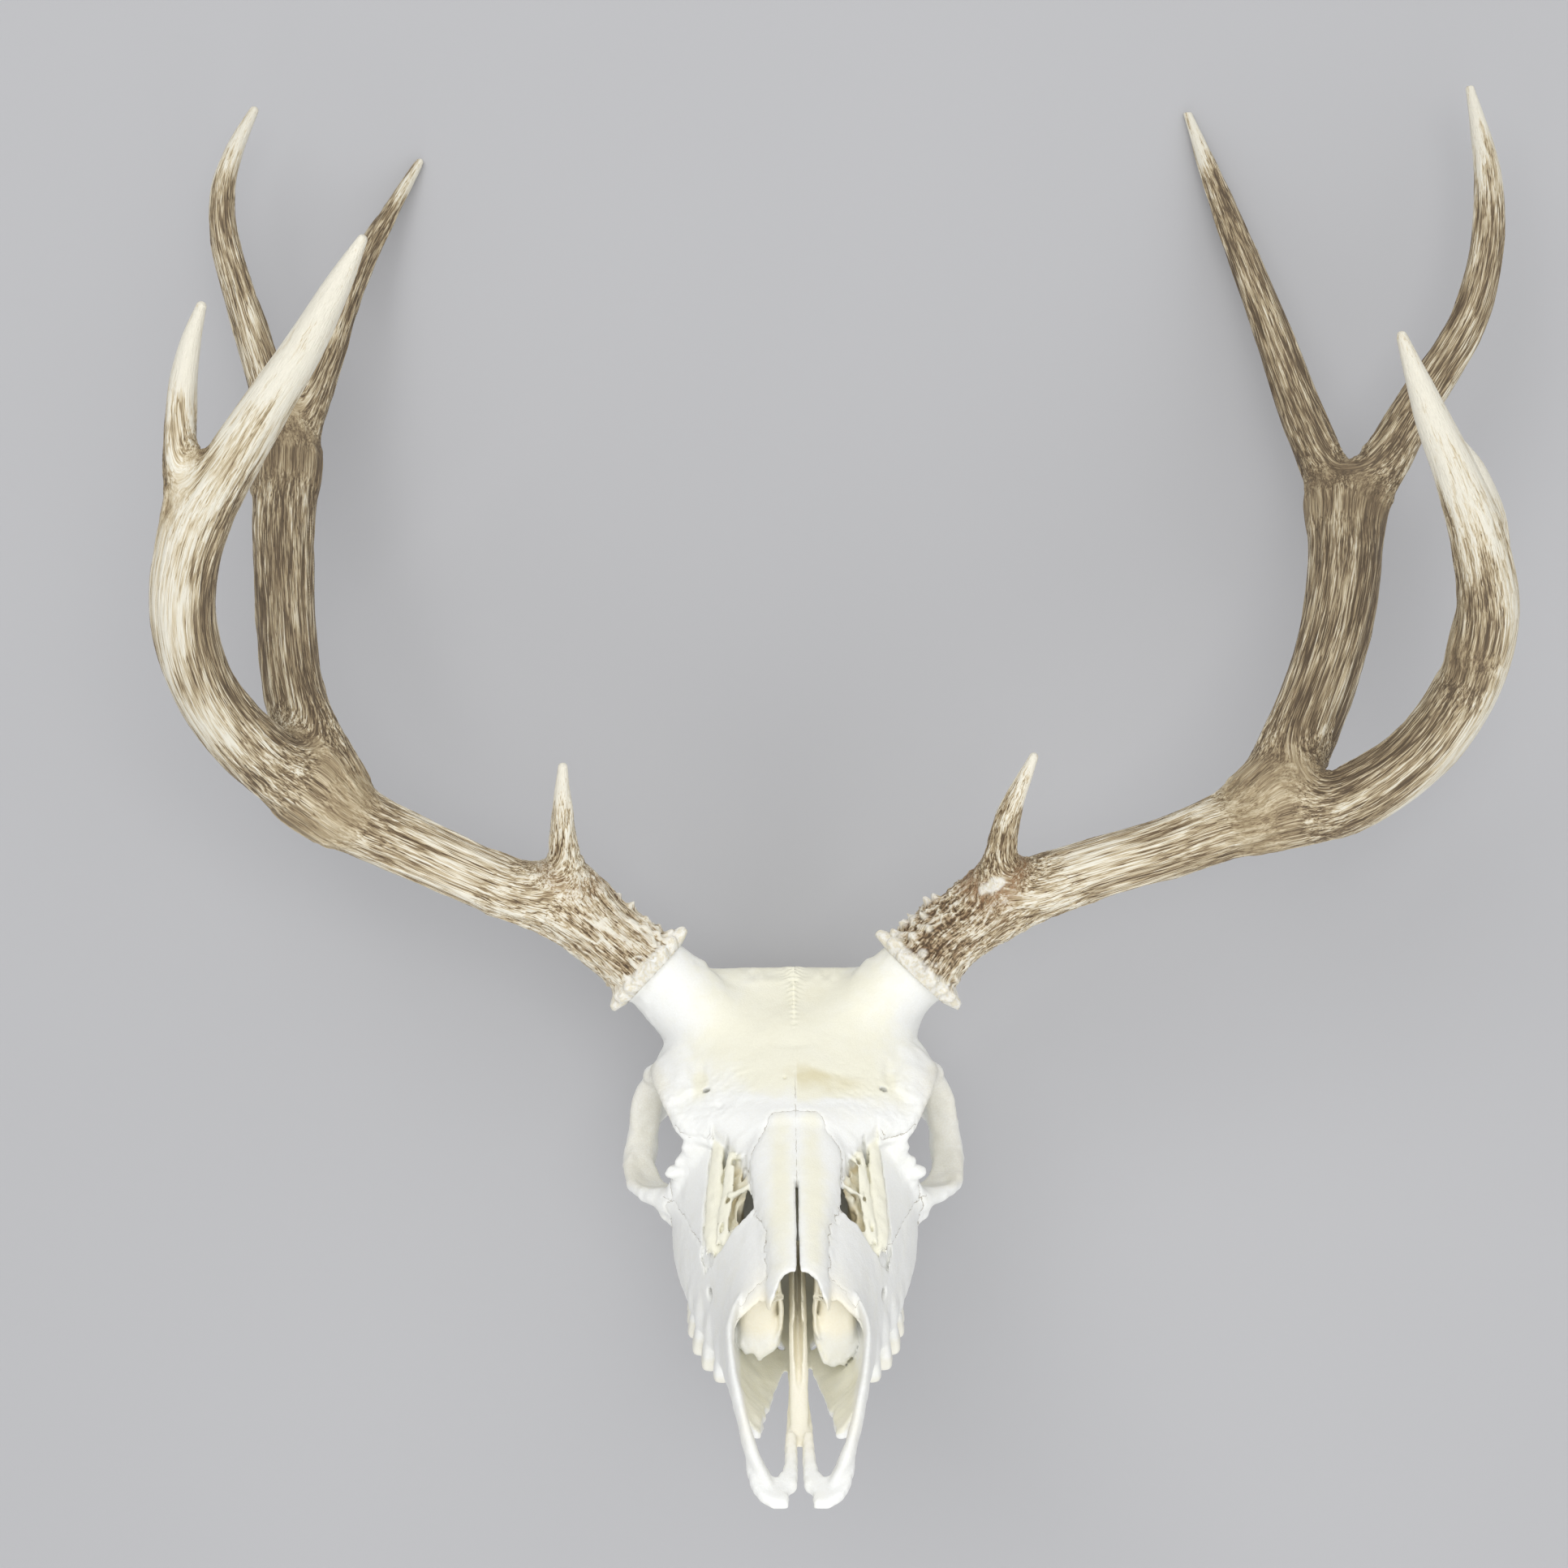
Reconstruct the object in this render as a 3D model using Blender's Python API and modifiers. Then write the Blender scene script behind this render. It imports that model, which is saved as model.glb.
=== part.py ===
"""Bare skull of a mule deer buck with both antlers, life size, as it lies at rest.

The skull lies on the back of the head, nose up, and the two inner rear tines touch the
floor. Skull pieces are modelled in the skull's own frame, in millimetres: x across
(positive on the viewer's right), y from the tip of the premaxilla back to the occiput,
z up from the tooth line. An empty tilts that frame into the resting pose. Antlers are
modelled straight in the resting pose.
"""
import math

import bmesh
import bpy
import numpy as np
from mathutils import Euler, Matrix, Vector

MM = 0.001
GAP = 0.3                    # clearance between neighbouring pieces

# Driving dimensions of the skull, mm
ORBIT_DIAMETER = 45.0
TOOTH_ROW_START = 83.0
TOOTH_ROW_LENGTH = 78.0
NOSE_HEIGHT = 257.0          # premaxilla tip above the floor
NOSE_FORWARD = -231.0        # premaxilla tip along Y
PALATE_TILT = math.radians(68.0)
SNOUT_LEAN = math.radians(0.51)      # the snout's tip lies a little to the viewer's right
LEAN_PIVOT = 200.0                   # y at which that lean starts
BURR_RADIUS = 16.5
BURR_CENTRES = {"left": (-52.5, -68.0, 105.0), "right": (46.0, -69.0, 105.0)}
BURR_AXES = {"left": (-0.73, 0.68, 0.0), "right": (0.69, 0.73, 0.0)}

# Mesh densities
SKULL_VOXEL = 1.3
ANTLER_VOXEL = 1.1
SKULL_TRIANGLES = 5200
ANTLER_TRIANGLES = 1700
PIECE_SHARE = 0.7
RING_POINTS = 32

TIP = 1.7                    # radius at the end of a tine
SIDES = (("left", -1.0), ("right", 1.0))
MIDLINE = {"left": GAP / 2, "right": 0.0}    # left bones are parted off first, with their gap

# Body lofts in the skull frame:
# (y, half width, top, bottom, height of the widest line, top roundness, bottom roundness)
FACE = (
    (50, 20.0, 24, 3, 12, 2.4, 3.0),
    (61, 22.5, 34, 1, 12, 2.6, 3.0),
    (72, 24.5, 44, 0, 12, 2.5, 3.4),
    (86, 27.0, 50.6, 0, 10, 2.1, 4.0),
    (101, 31.5, 57, 0, 9, 1.8, 4.5),
    (116, 36.5, 62, 0, 9, 1.8, 5.0),
    (131, 41.0, 67, 0, 11, 1.8, 4.5),
    (146, 44.0, 72, 0, 16, 1.9, 4.0),
    (159, 43.0, 76, 1, 20, 2.0, 3.0),
    (170, 34.0, 79, 14, 26, 2.0, 2.5),
)
NASALS = (
    (70.5, 10.8, 50.6, 37, 39, 2.3, 2.0),
    (86, 11.2, 54.8, 40, 45, 2.3, 2.0),
    (104, 13.0, 59.6, 44, 51, 2.4, 2.0),
    (124, 16.5, 65, 48, 56, 2.5, 2.0),
    (139, 14.0, 69.8, 50, 59, 2.6, 2.0),
)
FOREHEAD = (
    (137, 20.0, 69.2, 52, 56, 2.4, 2.0),
    (147, 39.0, 71.8, 52, 56, 1.8, 2.0),
    (155, 44.0, 75, 53, 59, 1.65, 2.0),
    (164, 46.5, 79, 56, 61, 1.7, 2.0),
    (178, 46.5, 85, 57, 63, 1.95, 2.0),
    (190, 45.5, 86.8, 57, 65, 2.6, 2.0),
    (204, 45.0, 88.4, 58, 73, 5.0, 2.0),
    (216, 40.0, 85.5, 56, 72, 3.0, 2.0),
    (230, 33.0, 82, 50, 64, 2.0, 2.0),
)
BRAINCASE = (
    (188, 26.0, 76, 22, 48, 2.2, 2.2),
    (204, 33.0, 82, 15, 46, 2.2, 2.2),
    (220, 37.0, 79, 11, 44, 2.2, 2.2),
    (236, 38.5, 73, 9, 40, 2.2, 2.4),
    (251, 38.0, 65, 8, 36, 2.2, 2.6),
    (263, 36.0, 56, 8, 32, 2.4, 2.8),
    (270, 31.0, 50, 10, 30, 2.4, 2.8),
    (274, 22.0, 42, 16, 28, 2.2, 2.4),
)
SKULL_BASE = (
    (158, 16.0, 62, 12, 34, 2.5, 2.5),
    (176, 14.0, 64, 10, 34, 2.5, 2.5),
    (200, 15.0, 56, 7, 28, 2.5, 2.5),
    (230, 16.0, 40, 4, 20, 2.5, 2.5),
    (256, 17.0, 38, 3, 18, 2.5, 2.5),
    (273, 15.0, 34, 4, 16, 2.5, 2.5),
)

# Centre lines of the antler branches at rest, mm: (x, y, height, radius)
ANTLERS = {
    "left": {
        "base": (
            (-49, -72, 105, 14.5), (-65, -58.5, 104, 13.3), (-84, -45, 106, 13),
            (-107.5, -37, 110, 11.2), (-136, -24, 116, 11.2), (-159.5, -12, 123, 12.4),
            (-174, -1, 127, 14),
        ),
        "brow_tine": (
            (-80, -42, 106, 8), (-83, -26, 117, 5.4), (-83, -11, 127, 3.8), (-82, 6, 136, TIP),
        ),
        "rear_beam": (
            (-168, 2, 127, 13.5), (-181, 30.5, 116, 10.8), (-188, 62, 98, 10.7), (-192.5, 94, 81, 11.4),
            (-194, 122, 67, 12.5),
        ),
        "rear_inner_tine": (
            (-194, 116, 69, 9.5), (-189, 143, 56, 7.8), (-183, 171, 41, 6.6), (-175, 204, 24, 5.0),
            (-165, 229, 12, 3.6), (-153, 255, 1.4, TIP),
        ),
        "rear_outer_tine": (
            (-194, 118, 69, 9), (-202, 152, 62, 7.2), (-212.5, 184, 57, 6.3), (-221, 211, 53, 5.3),
            (-222.5, 232, 49, 4.5), (-218.5, 249, 46, 3.4), (-212, 265, 42, TIP),
        ),
        "front_beam": (
            (-166, -7, 127, 13), (-187, 10, 145, 12), (-200.5, 30, 165, 10.8), (-204.5, 52, 184, 10.7),
            (-201, 74, 196, 10.6), (-191, 93, 205, 9.6), (-175, 115, 214, 8.2), (-157, 139, 223, 6.3),
            (-145, 157, 230, 4.3), (-136, 171, 235, TIP),
        ),
        "front_tine": (
            (-200, 82, 199, 7.5), (-200.5, 106, 206, 5.6), (-198, 127, 213, 4.6), (-194, 141, 219, 3.3),
            (-189, 152, 225, TIP),
        ),
    },
    "right": {
        "base": (
            (43, -72, 105, 14.5), (56.5, -56.5, 104, 13.3), (78, -43, 106, 12.6),
            (106, -32.5, 110, 11.2), (136, -23, 116, 11.2), (160, -13.5, 123, 12.6),
            (175.5, -5.5, 127, 14),
        ),
        "brow_tine": (
            (72, -43, 107, 8), (74.5, -28, 117, 5.8), (77, -11, 128, 4.4), (85, 9.5, 137, TIP),
        ),
        "rear_beam": (
            (171, -6, 126, 14), (187.5, 24, 112, 12.6), (200.5, 53, 95, 13), (208.5, 82, 79, 13.5),
            (211, 106, 67, 14),
        ),
        "rear_inner_tine": (
            (210, 101, 69, 10), (204.5, 126, 56, 8.8), (197.5, 152, 43, 7.9), (188, 190, 27, 6.8),
            (176.5, 229, 13, 5.2), (162, 275, 1.4, TIP),
        ),
        "rear_outer_tine": (
            (212, 100, 69, 11), (227, 124, 66, 9.4), (242.5, 149, 62, 8), (261, 178, 57, 7.2),
            (270, 208, 52, 6.5), (272, 240, 46, 5), (267, 274, 40, TIP),
        ),
        "front_beam": (
            (168, -10.5, 126, 12.6), (194.5, -6, 140, 11.8), (217, 11.5, 158, 11),
            (229, 34.5, 175, 10.5), (231, 57, 189, 10.2), (224.5, 80, 201, 8.9), (215, 99.5, 210, 7.1),
            (204, 118.5, 219, 5.3), (192, 142, 229, TIP),
        ),
        "front_tine": (
            (228, 44, 183, 8), (234, 64, 179, 6.4), (237, 87, 173, 5.2), (234, 106, 166, 3.6),
            (230, 117, 161, TIP),
        ),
    },
}
# Where each branch is parted from the one that carries it: how far along its line
BRANCH_CUTS = {
    "brow_tine": 0.30,
    "rear_beam": 0.24,
    "rear_inner_tine": 0.34,
    "rear_outer_tine": 0.22,
    "front_beam": 0.15,
    "front_tine": 0.38,
}


# ---------------------------------------------------------------- scene and materials

def clear_scene():
    for old in list(bpy.data.objects):
        bpy.data.objects.remove(old, do_unlink=True)


def new_collection(name):
    collection = bpy.data.collections.new(name)
    bpy.context.scene.collection.children.link(collection)
    return collection


def material(name, colour, roughness):
    mat = bpy.data.materials.new(name)
    mat.use_nodes = True
    shader = mat.node_tree.nodes["Principled BSDF"]
    shader.inputs["Base Color"].default_value = (*colour, 1.0)
    shader.inputs["Roughness"].default_value = roughness
    shader.inputs["Metallic"].default_value = 0.0
    return mat


# ---------------------------------------------------------------- shapes, all in mm

def mesh_object(name, verts, faces):
    mesh = bpy.data.meshes.new(name)
    mesh.from_pydata([Vector(v) * MM for v in verts], [], faces)
    bm = bmesh.new()
    bm.from_mesh(mesh)
    bmesh.ops.recalc_face_normals(bm, faces=bm.faces)
    bm.to_mesh(mesh)
    bm.free()
    obj = bpy.data.objects.new(name, mesh)
    bpy.context.scene.collection.objects.link(obj)
    return obj


def loft(name, rings):
    """Closed skin through rings of equal point counts, capped flat at both ends."""
    count = len(rings[0])
    verts = [point for ring in rings for point in ring]
    faces = []
    for r in range(len(rings) - 1):
        for k in range(count):
            a = r * count + k
            b = r * count + (k + 1) % count
            faces.append((a, b, b + count, a + count))
    faces.append(tuple(reversed(range(count))))
    faces.append(tuple(range(len(verts) - count, len(verts))))
    return mesh_object(name, verts, faces)


def signed_power(value, power):
    return math.copysign(abs(value) ** power, value)


def catmull(points, t):
    """Point at t (0..1) on a smooth curve through the given tuples."""
    span = t * (len(points) - 1)
    i = min(int(span), len(points) - 2)
    u = span - i
    p0 = points[max(i - 1, 0)]
    p1, p2 = points[i], points[i + 1]
    p3 = points[min(i + 2, len(points) - 1)]
    return tuple(
        0.5 * (2 * b + (c - a) * u + (2 * a - 5 * b + 4 * c - d) * u * u + (3 * b - a - 3 * c + d) * u ** 3)
        for a, b, c, d in zip(p0, p1, p2, p3))


def body_loft(name, stations, steps_per_span=4):
    """A loft along y whose section is a rounded box from the station table."""
    steps = (len(stations) - 1) * steps_per_span
    rings = []
    for s in range(steps + 1):
        y, half, top, bottom, level, round_top, round_bottom = catmull(stations, s / steps)
        ring = []
        for k in range(RING_POINTS):
            angle = 2 * math.pi * k / RING_POINTS
            upper = math.sin(angle) >= 0
            power = 2 / (round_top if upper else round_bottom)
            reach = (top - level) if upper else (level - bottom)
            x = half * signed_power(math.cos(angle), power)
            z = level + reach * signed_power(math.sin(angle), power)
            ring.append((x, y, z))
        rings.append(ring)
    return loft(name, rings)


def sweep(name, path, up, steps_per_span=4, points=14):
    """A tapered oval bar: path rows are (x, y, z, half width, half thickness)."""
    steps = (len(path) - 1) * steps_per_span
    rows = [catmull(path, s / steps) for s in range(steps + 1)]
    rings = []
    for s, row in enumerate(rows):
        here = Vector(row[:3])
        ahead = Vector(rows[min(s + 1, steps)][:3])
        behind = Vector(rows[max(s - 1, 0)][:3])
        along = (ahead - behind).normalized()
        wide = along.cross(Vector(up)).normalized()
        thick = wide.cross(along)
        rings.append([
            here + wide * row[3] * math.cos(2 * math.pi * k / points)
            + thick * row[4] * math.sin(2 * math.pi * k / points)
            for k in range(points)])
    return loft(name, rings)


def ball(name, centre, radii, turn=(0, 0, 0)):
    bm = bmesh.new()
    bmesh.ops.create_uvsphere(bm, u_segments=24, v_segments=16, radius=1.0)
    place = Matrix.Translation(Vector(centre)) @ Euler([math.radians(a) for a in turn]).to_matrix().to_4x4()
    bm.transform(place @ Matrix.Diagonal((*radii, 1.0)))
    bm.transform(Matrix.Scale(MM, 4))
    mesh = bpy.data.meshes.new(name)
    bm.to_mesh(mesh)
    bm.free()
    obj = bpy.data.objects.new(name, mesh)
    bpy.context.scene.collection.objects.link(obj)
    return obj


def tube(name, path):
    """A round tapered branch: a curve with a bevel, made into a closed mesh."""
    curve = bpy.data.curves.new(name, "CURVE")
    curve.dimensions = "3D"
    curve.bevel_depth = MM
    curve.bevel_resolution = 5
    curve.use_fill_caps = True
    spline = curve.splines.new("POLY")
    steps = (len(path) - 1) * 6
    spline.points.add(steps)
    for s in range(steps + 1):
        x, y, z, radius = catmull(path, s / steps)
        spline.points[s].co = (x * MM, y * MM, z * MM, 1.0)
        spline.points[s].radius = radius
    obj = bpy.data.objects.new(name, curve)
    bpy.context.scene.collection.objects.link(obj)
    bpy.context.view_layer.update()
    evaluated = obj.evaluated_get(bpy.context.evaluated_depsgraph_get())
    mesh = bpy.data.meshes.new_from_object(evaluated)
    bm = bmesh.new()
    bm.from_mesh(mesh)
    bmesh.ops.remove_doubles(bm, verts=bm.verts, dist=1e-6)
    bmesh.ops.recalc_face_normals(bm, faces=bm.faces)
    bm.to_mesh(mesh)
    bm.free()
    solid = bpy.data.objects.new(name, mesh)
    bpy.context.scene.collection.objects.link(solid)
    bpy.data.objects.remove(obj, do_unlink=True)
    return solid


def prism(name, outline, low, high, axis):
    """A flat outline raised along one axis: 'z' takes (x, y) points and 'x' takes (y, z) points."""
    if axis == "z":
        rings = [[(a, b, level) for a, b in outline] for level in (low, high)]
    else:
        rings = [[(level, a, b) for a, b in outline] for level in (low, high)]
    return loft(name, rings)


# ---------------------------------------------------------------- working on meshes

def settle(obj):
    """Replace an object's mesh by its evaluated one and drop the modifiers."""
    bpy.context.view_layer.update()
    evaluated = obj.evaluated_get(bpy.context.evaluated_depsgraph_get())
    mesh = bpy.data.meshes.new_from_object(evaluated)
    obj.modifiers.clear()
    obj.data = mesh
    return obj


def join(name, parts):
    bm = bmesh.new()
    for part in parts:
        bm.from_mesh(part.data)
        bpy.data.objects.remove(part, do_unlink=True)
    mesh = bpy.data.meshes.new(name)
    bm.to_mesh(mesh)
    bm.free()
    obj = bpy.data.objects.new(name, mesh)
    bpy.context.scene.collection.objects.link(obj)
    return obj


def fuse(name, parts, voxel, smoothing=0):
    """One closed skin round overlapping solids."""
    obj = join(name, parts)
    remesh = obj.modifiers.new("skin", "REMESH")
    remesh.mode = "VOXEL"
    remesh.voxel_size = voxel * MM
    if smoothing:
        smooth = obj.modifiers.new("soften", "SMOOTH")
        smooth.factor = 0.5
        smooth.iterations = smoothing
    return settle(obj)


def thin_out(obj, triangles=None, share=1.0):
    """Fewer triangles: to a number, or to a share of what the mesh has."""
    if triangles:
        share = triangles / sum(len(face.vertices) - 2 for face in obj.data.polygons)
    decimate = obj.modifiers.new("thin_out", "DECIMATE")
    decimate.ratio = min(1.0, share)
    return settle(obj)


def combine(obj, other, operation, solver="EXACT"):
    boolean = obj.modifiers.new("cut", "BOOLEAN")
    boolean.operation = operation
    boolean.object = other
    boolean.solver = solver
    return settle(obj)


def combine_and_drop(obj, other, operation):
    combine(obj, other, operation)
    bpy.data.objects.remove(other, do_unlink=True)
    return obj


def copy_of(obj, name):
    twin = bpy.data.objects.new(name, obj.data.copy())
    bpy.context.scene.collection.objects.link(twin)
    return twin


def islands(obj):
    """The loose bodies of a mesh, largest first, each as its own object."""
    bm = bmesh.new()
    bm.from_mesh(obj.data)
    bm.verts.ensure_lookup_table()
    unseen = set(bm.verts)
    groups = []
    while unseen:
        group = set()
        stack = [unseen.pop()]
        while stack:
            vert = stack.pop()
            group.add(vert.index)
            for edge in vert.link_edges:
                other = edge.other_vert(vert)
                if other in unseen:
                    unseen.discard(other)
                    stack.append(other)
        groups.append(group)
    bm.free()
    pieces = []
    for group in sorted(groups, key=len, reverse=True):
        mesh = obj.data.copy()
        bm = bmesh.new()
        bm.from_mesh(mesh)
        bm.verts.ensure_lookup_table()
        spare = [v for v in bm.verts if v.index not in group]
        bmesh.ops.delete(bm, geom=spare, context="VERTS")
        bm.to_mesh(mesh)
        bm.free()
        piece = bpy.data.objects.new(obj.name, mesh)
        bpy.context.scene.collection.objects.link(piece)
        pieces.append(piece)
    bpy.data.objects.remove(obj, do_unlink=True)
    return pieces


def largest(obj, name):
    pieces = islands(obj)
    for crumb in pieces[1:]:
        bpy.data.objects.remove(crumb, do_unlink=True)
    pieces[0].name = name
    return pieces[0]


def widened(cutter, name, gap=GAP):
    """The cutter with each of its flat sides moved outward by the gap."""
    wide = copy_of(cutter, name)
    bm = bmesh.new()
    bm.from_mesh(wide.data)
    steps = []
    for vert in bm.verts:
        normals = []
        for face in vert.link_faces:
            if all(face.normal.dot(n) < 0.995 for n in normals):
                normals.append(face.normal.copy())
        step = np.linalg.lstsq(np.array(normals), np.full(len(normals), gap * MM), rcond=1e-2)[0]
        steps.append(Vector(step))
    for vert, step in zip(bm.verts, steps):
        vert.co += step
    bm.to_mesh(wide.data)
    bm.free()
    return wide


def part_off(whole, cutter, name):
    """Split the piece inside the cutter from the whole, with the gap between them.

    The cuts run close beside earlier ones, where the exact solver leaves open edges.
    """
    piece = combine(copy_of(whole, name), cutter, "INTERSECT", "MANIFOLD")
    wide = widened(cutter, cutter.name + "_gap")
    combine(whole, wide, "DIFFERENCE", "MANIFOLD")
    bpy.data.objects.remove(wide, do_unlink=True)
    return largest(piece, name)


def finish(piece, collection, mat):
    """Give a finished piece its material and its place in the model's collection."""
    for owner in list(piece.users_collection):
        owner.objects.unlink(piece)
    collection.objects.link(piece)
    thin_out(piece, share=PIECE_SHARE)
    piece.data.materials.clear()
    piece.data.materials.append(mat)
    piece.data.name = piece.name
    piece.data.shade_smooth()
    piece.data.set_sharp_from_angle(angle=math.radians(50))


def stow(cutter, collection):
    """Keep a cutter in its own collection, as a guide only."""
    for owner in list(cutter.users_collection):
        owner.objects.unlink(cutter)
    collection.objects.link(cutter)
    cutter.hide_render = True
    cutter.display_type = "WIRE"


# ---------------------------------------------------------------- skull

def skull_bodies():
    parts = [
        body_loft("face", FACE),
        body_loft("nasals", NASALS),
        body_loft("forehead", FOREHEAD),
        body_loft("braincase", BRAINCASE),
        body_loft("skull_base", SKULL_BASE),
    ]
    for side, s in SIDES:
        reach = abs(BURR_CENTRES[side][0])
        parts.append(sweep("pedicle", (
            (s * (reach - 28), 190, 70, 16, 17), (s * (reach - 14), 198, 82, 15, 15.5),
            (s * (reach - 5), 201.5, 90, 14, 14.5), (s * (reach + 4), 205, 97, 14.5, 14.5)), up=(0, 0, 1)))
        parts.append(ball("mastoid", (s * 33, 254, 24), (8, 14, 16)))
        parts.append(ball("bulla", (s * 20, 236, 4), (8, 12, 9)))
        parts.append(ball("glenoid", (s * 38, 228, 25), (11, 9, 6)))
        parts.append(sweep("pterygoid", (
            (s * 12, 160, 12, 7, 3), (s * 12, 178, 6, 10, 2.2), (s * 12, 196, 4, 8, 2.2),
            (s * 13, 208, 12, 5, 3)), up=(1, 0, 0)))
    return parts


def skull_hollows():
    parts = [
        sweep("nasal_cavity", (
            (0, 30, 22, 19, 16), (0, 52, 24, 19.5, 19), (0, 72, 26, 19.5, 20), (0, 88, 29, 18, 19),
            (0, 100, 31, 13, 13)), up=(0, 0, 1)),
        ball("palate_vault", (0, 118, -6), (19, 48, 11)),
        ball("choana", (0, 176, 12), (9, 17, 11)),
        ball("foramen_magnum", (0, 276, 22), (10, 12, 8.5)),
    ]
    for side, s in SIDES:
        parts.append(ball("palatine_fissure", (s * 6.4, 52, 4), (4.4, 30, 9), (0, 0, s * 6)))
    radius = ORBIT_DIAMETER / 2
    for side, s in SIDES:
        parts.append(ball("orbit", (s * 50, 171, 46), (26, radius, radius - 0.5), (0, 0, s * 14)))
        parts.append(ball("temporal_fossa", (s * 50, 207, 44), (17, 13, 24), (0, 0, s * 10)))
        parts.append(ball("lacrimal_vacuity", (s * 20, 125, 53), (6, 17, 13), (14, 0, -s * 14)))
    return parts


def zygomatic_bars():
    parts = []
    for side, s in SIDES:
        parts.append(sweep("lower_rim", (
            (s * 34, 146, 28, 7, 6), (s * 46.5, 157, 26, 6, 4), (s * 53.5, 166, 24.5, 6, 3.6),
            (s * 56.8, 177, 25, 5.6, 3.4), (s * 57, 188, 27, 5, 3.4), (s * 54, 203, 30, 4, 3.2),
            (s * 47, 218, 30, 4, 4), (s * 38, 229, 29, 5, 6)), up=(0, 0, 1)))
        parts.append(sweep("postorbital_bar", (
            (s * 56.5, 186, 24, 5.2, 4), (s * 56, 191, 33, 5.8, 3.6), (s * 54, 194, 44, 5.8, 3.4),
            (s * 48.6, 194, 55, 5.4, 3.6), (s * 42, 189, 66, 6, 4)), up=(s * 0.25, 1, 0)))
        parts.append(sweep("front_rim", (
            (s * 45, 153, 20, 3.4, 2.6), (s * 44.5, 150.5, 31, 3.2, 2.4), (s * 42.4, 148.5, 42, 3.0, 2.4),
            (s * 39.4, 148, 52, 3, 2.4), (s * 41.5, 151.5, 58.5, 2.8, 2.4), (s * 45.6, 158, 62.5, 2.6, 2.6),
            (s * 48.2, 167, 65.5, 2.6, 2.6), (s * 49, 177, 65, 2.6, 2.6), (s * 50, 186, 60, 2.8, 2.8),
            (s * 51, 191, 55, 2.8, 2.8)), up=(0.3, 1, 0.2)))
        parts.append(sweep("orbit_roof", (
            (s * 38, 152, 66.5, 6.5, 2.2), (s * 41.5, 160, 68, 7, 2.2), (s * 44, 169, 70, 7, 2.4),
            (s * 45.2, 178, 69.6, 6.6, 2.6), (s * 46, 187, 64, 6.5, 3.2)), up=(s * 0.55, -0.2, 0.85)))
    return parts


def snout_bars():
    parts = [sweep("vomer", (
        (0, 35.5, 10, 2.3, 1.8), (0, 46, 13, 2.3, 2.2), (0, 66, 21.6, 2.3, 4.6), (0, 82, 28, 2.3, 7),
        (0, 100, 33, 2.3, 9)), up=(0, 0, 1))]
    for side, s in SIDES:
        parts.append(sweep("premaxilla_bar", (
            (s * 10.4, 12, 11.4, 3.6, 2.8), (s * 13.2, 17, 13.4, 4.8, 3), (s * 16.6, 26, 19, 5.4, 2.6),
            (s * 20.6, 42, 27, 5.8, 2.2), (s * 22.2, 60, 33, 5.4, 2.2), (s * 20.2, 73, 38, 3.6, 2),
            (s * 18, 80, 40, 2.4, 1.8)), up=(1, 0, 0)))
        parts.append(ball("premaxilla_toe", (s * 8.6, 11.6, 9.4), (7, 7.4, 2.9)))
        parts.append(sweep("palatine_process", (
            (s * 4, 12, 9, 2.4, 2.2), (s * 3.4, 24, 8.2, 1.9, 1.8), (s * 3.2, 36, 7.2, 1.7, 1.8),
            (s * 3.2, 56, 5, 2.2, 2.2)), up=(0, 0, 1)))
        parts.append(ball("turbinate", (s * 10, 97, 28), (7, 16, 13)))
        parts.append(ball("condyle", (s * 11, 273.5, 9.5), (8.5, 6, 9)))
        parts.append(sweep("jugular_process", (
            (s * 29, 256, 18, 8, 6), (s * 28, 263, 6, 6, 4), (s * 26, 268, -5, 4.5, 3),
            (s * 25, 270, -14, 2.4, 2)), up=(0, 1, 0)))
    return parts


def cheek_teeth():
    """Six crowns a side: three small premolars, then three molars."""
    shares = (0.13, 0.14, 0.14, 0.18, 0.20, 0.21)
    parts = []
    for side, s in SIDES:
        y = TOOTH_ROW_START
        for k, share in enumerate(shares):
            length = TOOTH_ROW_LENGTH * share
            middle = y + length / 2
            along = (middle - TOOTH_ROW_START) / TOOTH_ROW_LENGTH
            x = 20.2 + 12.3 * math.sin(math.pi / 2 * min(1.0, 1.8 * along))
            foot = max(-7.6, -3.2 - 17.0 * (along - 0.05))
            parts.append(ball(f"tooth_{k}", (s * x, middle, foot + 6), (6.0, length * 0.54, 6.0)))
            y += length
    return parts


def whole_skull():
    solid = fuse("skull_solid", skull_bodies(), SKULL_VOXEL)
    hollow = fuse("skull_hollow", skull_hollows(), SKULL_VOXEL)
    combine(solid, hollow, "DIFFERENCE")
    bpy.data.objects.remove(hollow, do_unlink=True)
    parts = [solid] + zygomatic_bars() + snout_bars() + cheek_teeth()
    skull = fuse("skull", parts, SKULL_VOXEL, smoothing=3)
    return thin_out(largest(skull, "skull"), SKULL_TRIANGLES)


def half_prism(name, side, outline, near=None, far=80.0):
    """The space of one side of the skull inside a side-view outline of (y, z) points."""
    s = dict(SIDES)[side]
    if near is None:
        near = MIDLINE[side]
    return prism(name, outline, *sorted((s * near, s * far)), "x")


def nasal_space(side):
    s = dict(SIDES)[side]
    near = MIDLINE[side]
    plan = (
        (near, 60), (15, 60), (12, 88), (13, 104), (16.6, 123.5), (12.6, 131.4), (9.1, 137.3), (7.7, 138.7),
        (near, 138.4))
    space = prism("nasal_space_" + side, [(s * x, y) for x, y in plan], 20, 110, "z")
    outline = ((50, 30), (72, 37), (104, 49), (145, 62), (145, 120), (50, 120))
    depth = half_prism("nasal_depth", side, outline, -5.0)
    return combine_and_drop(space, depth, "INTERSECT")


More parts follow.
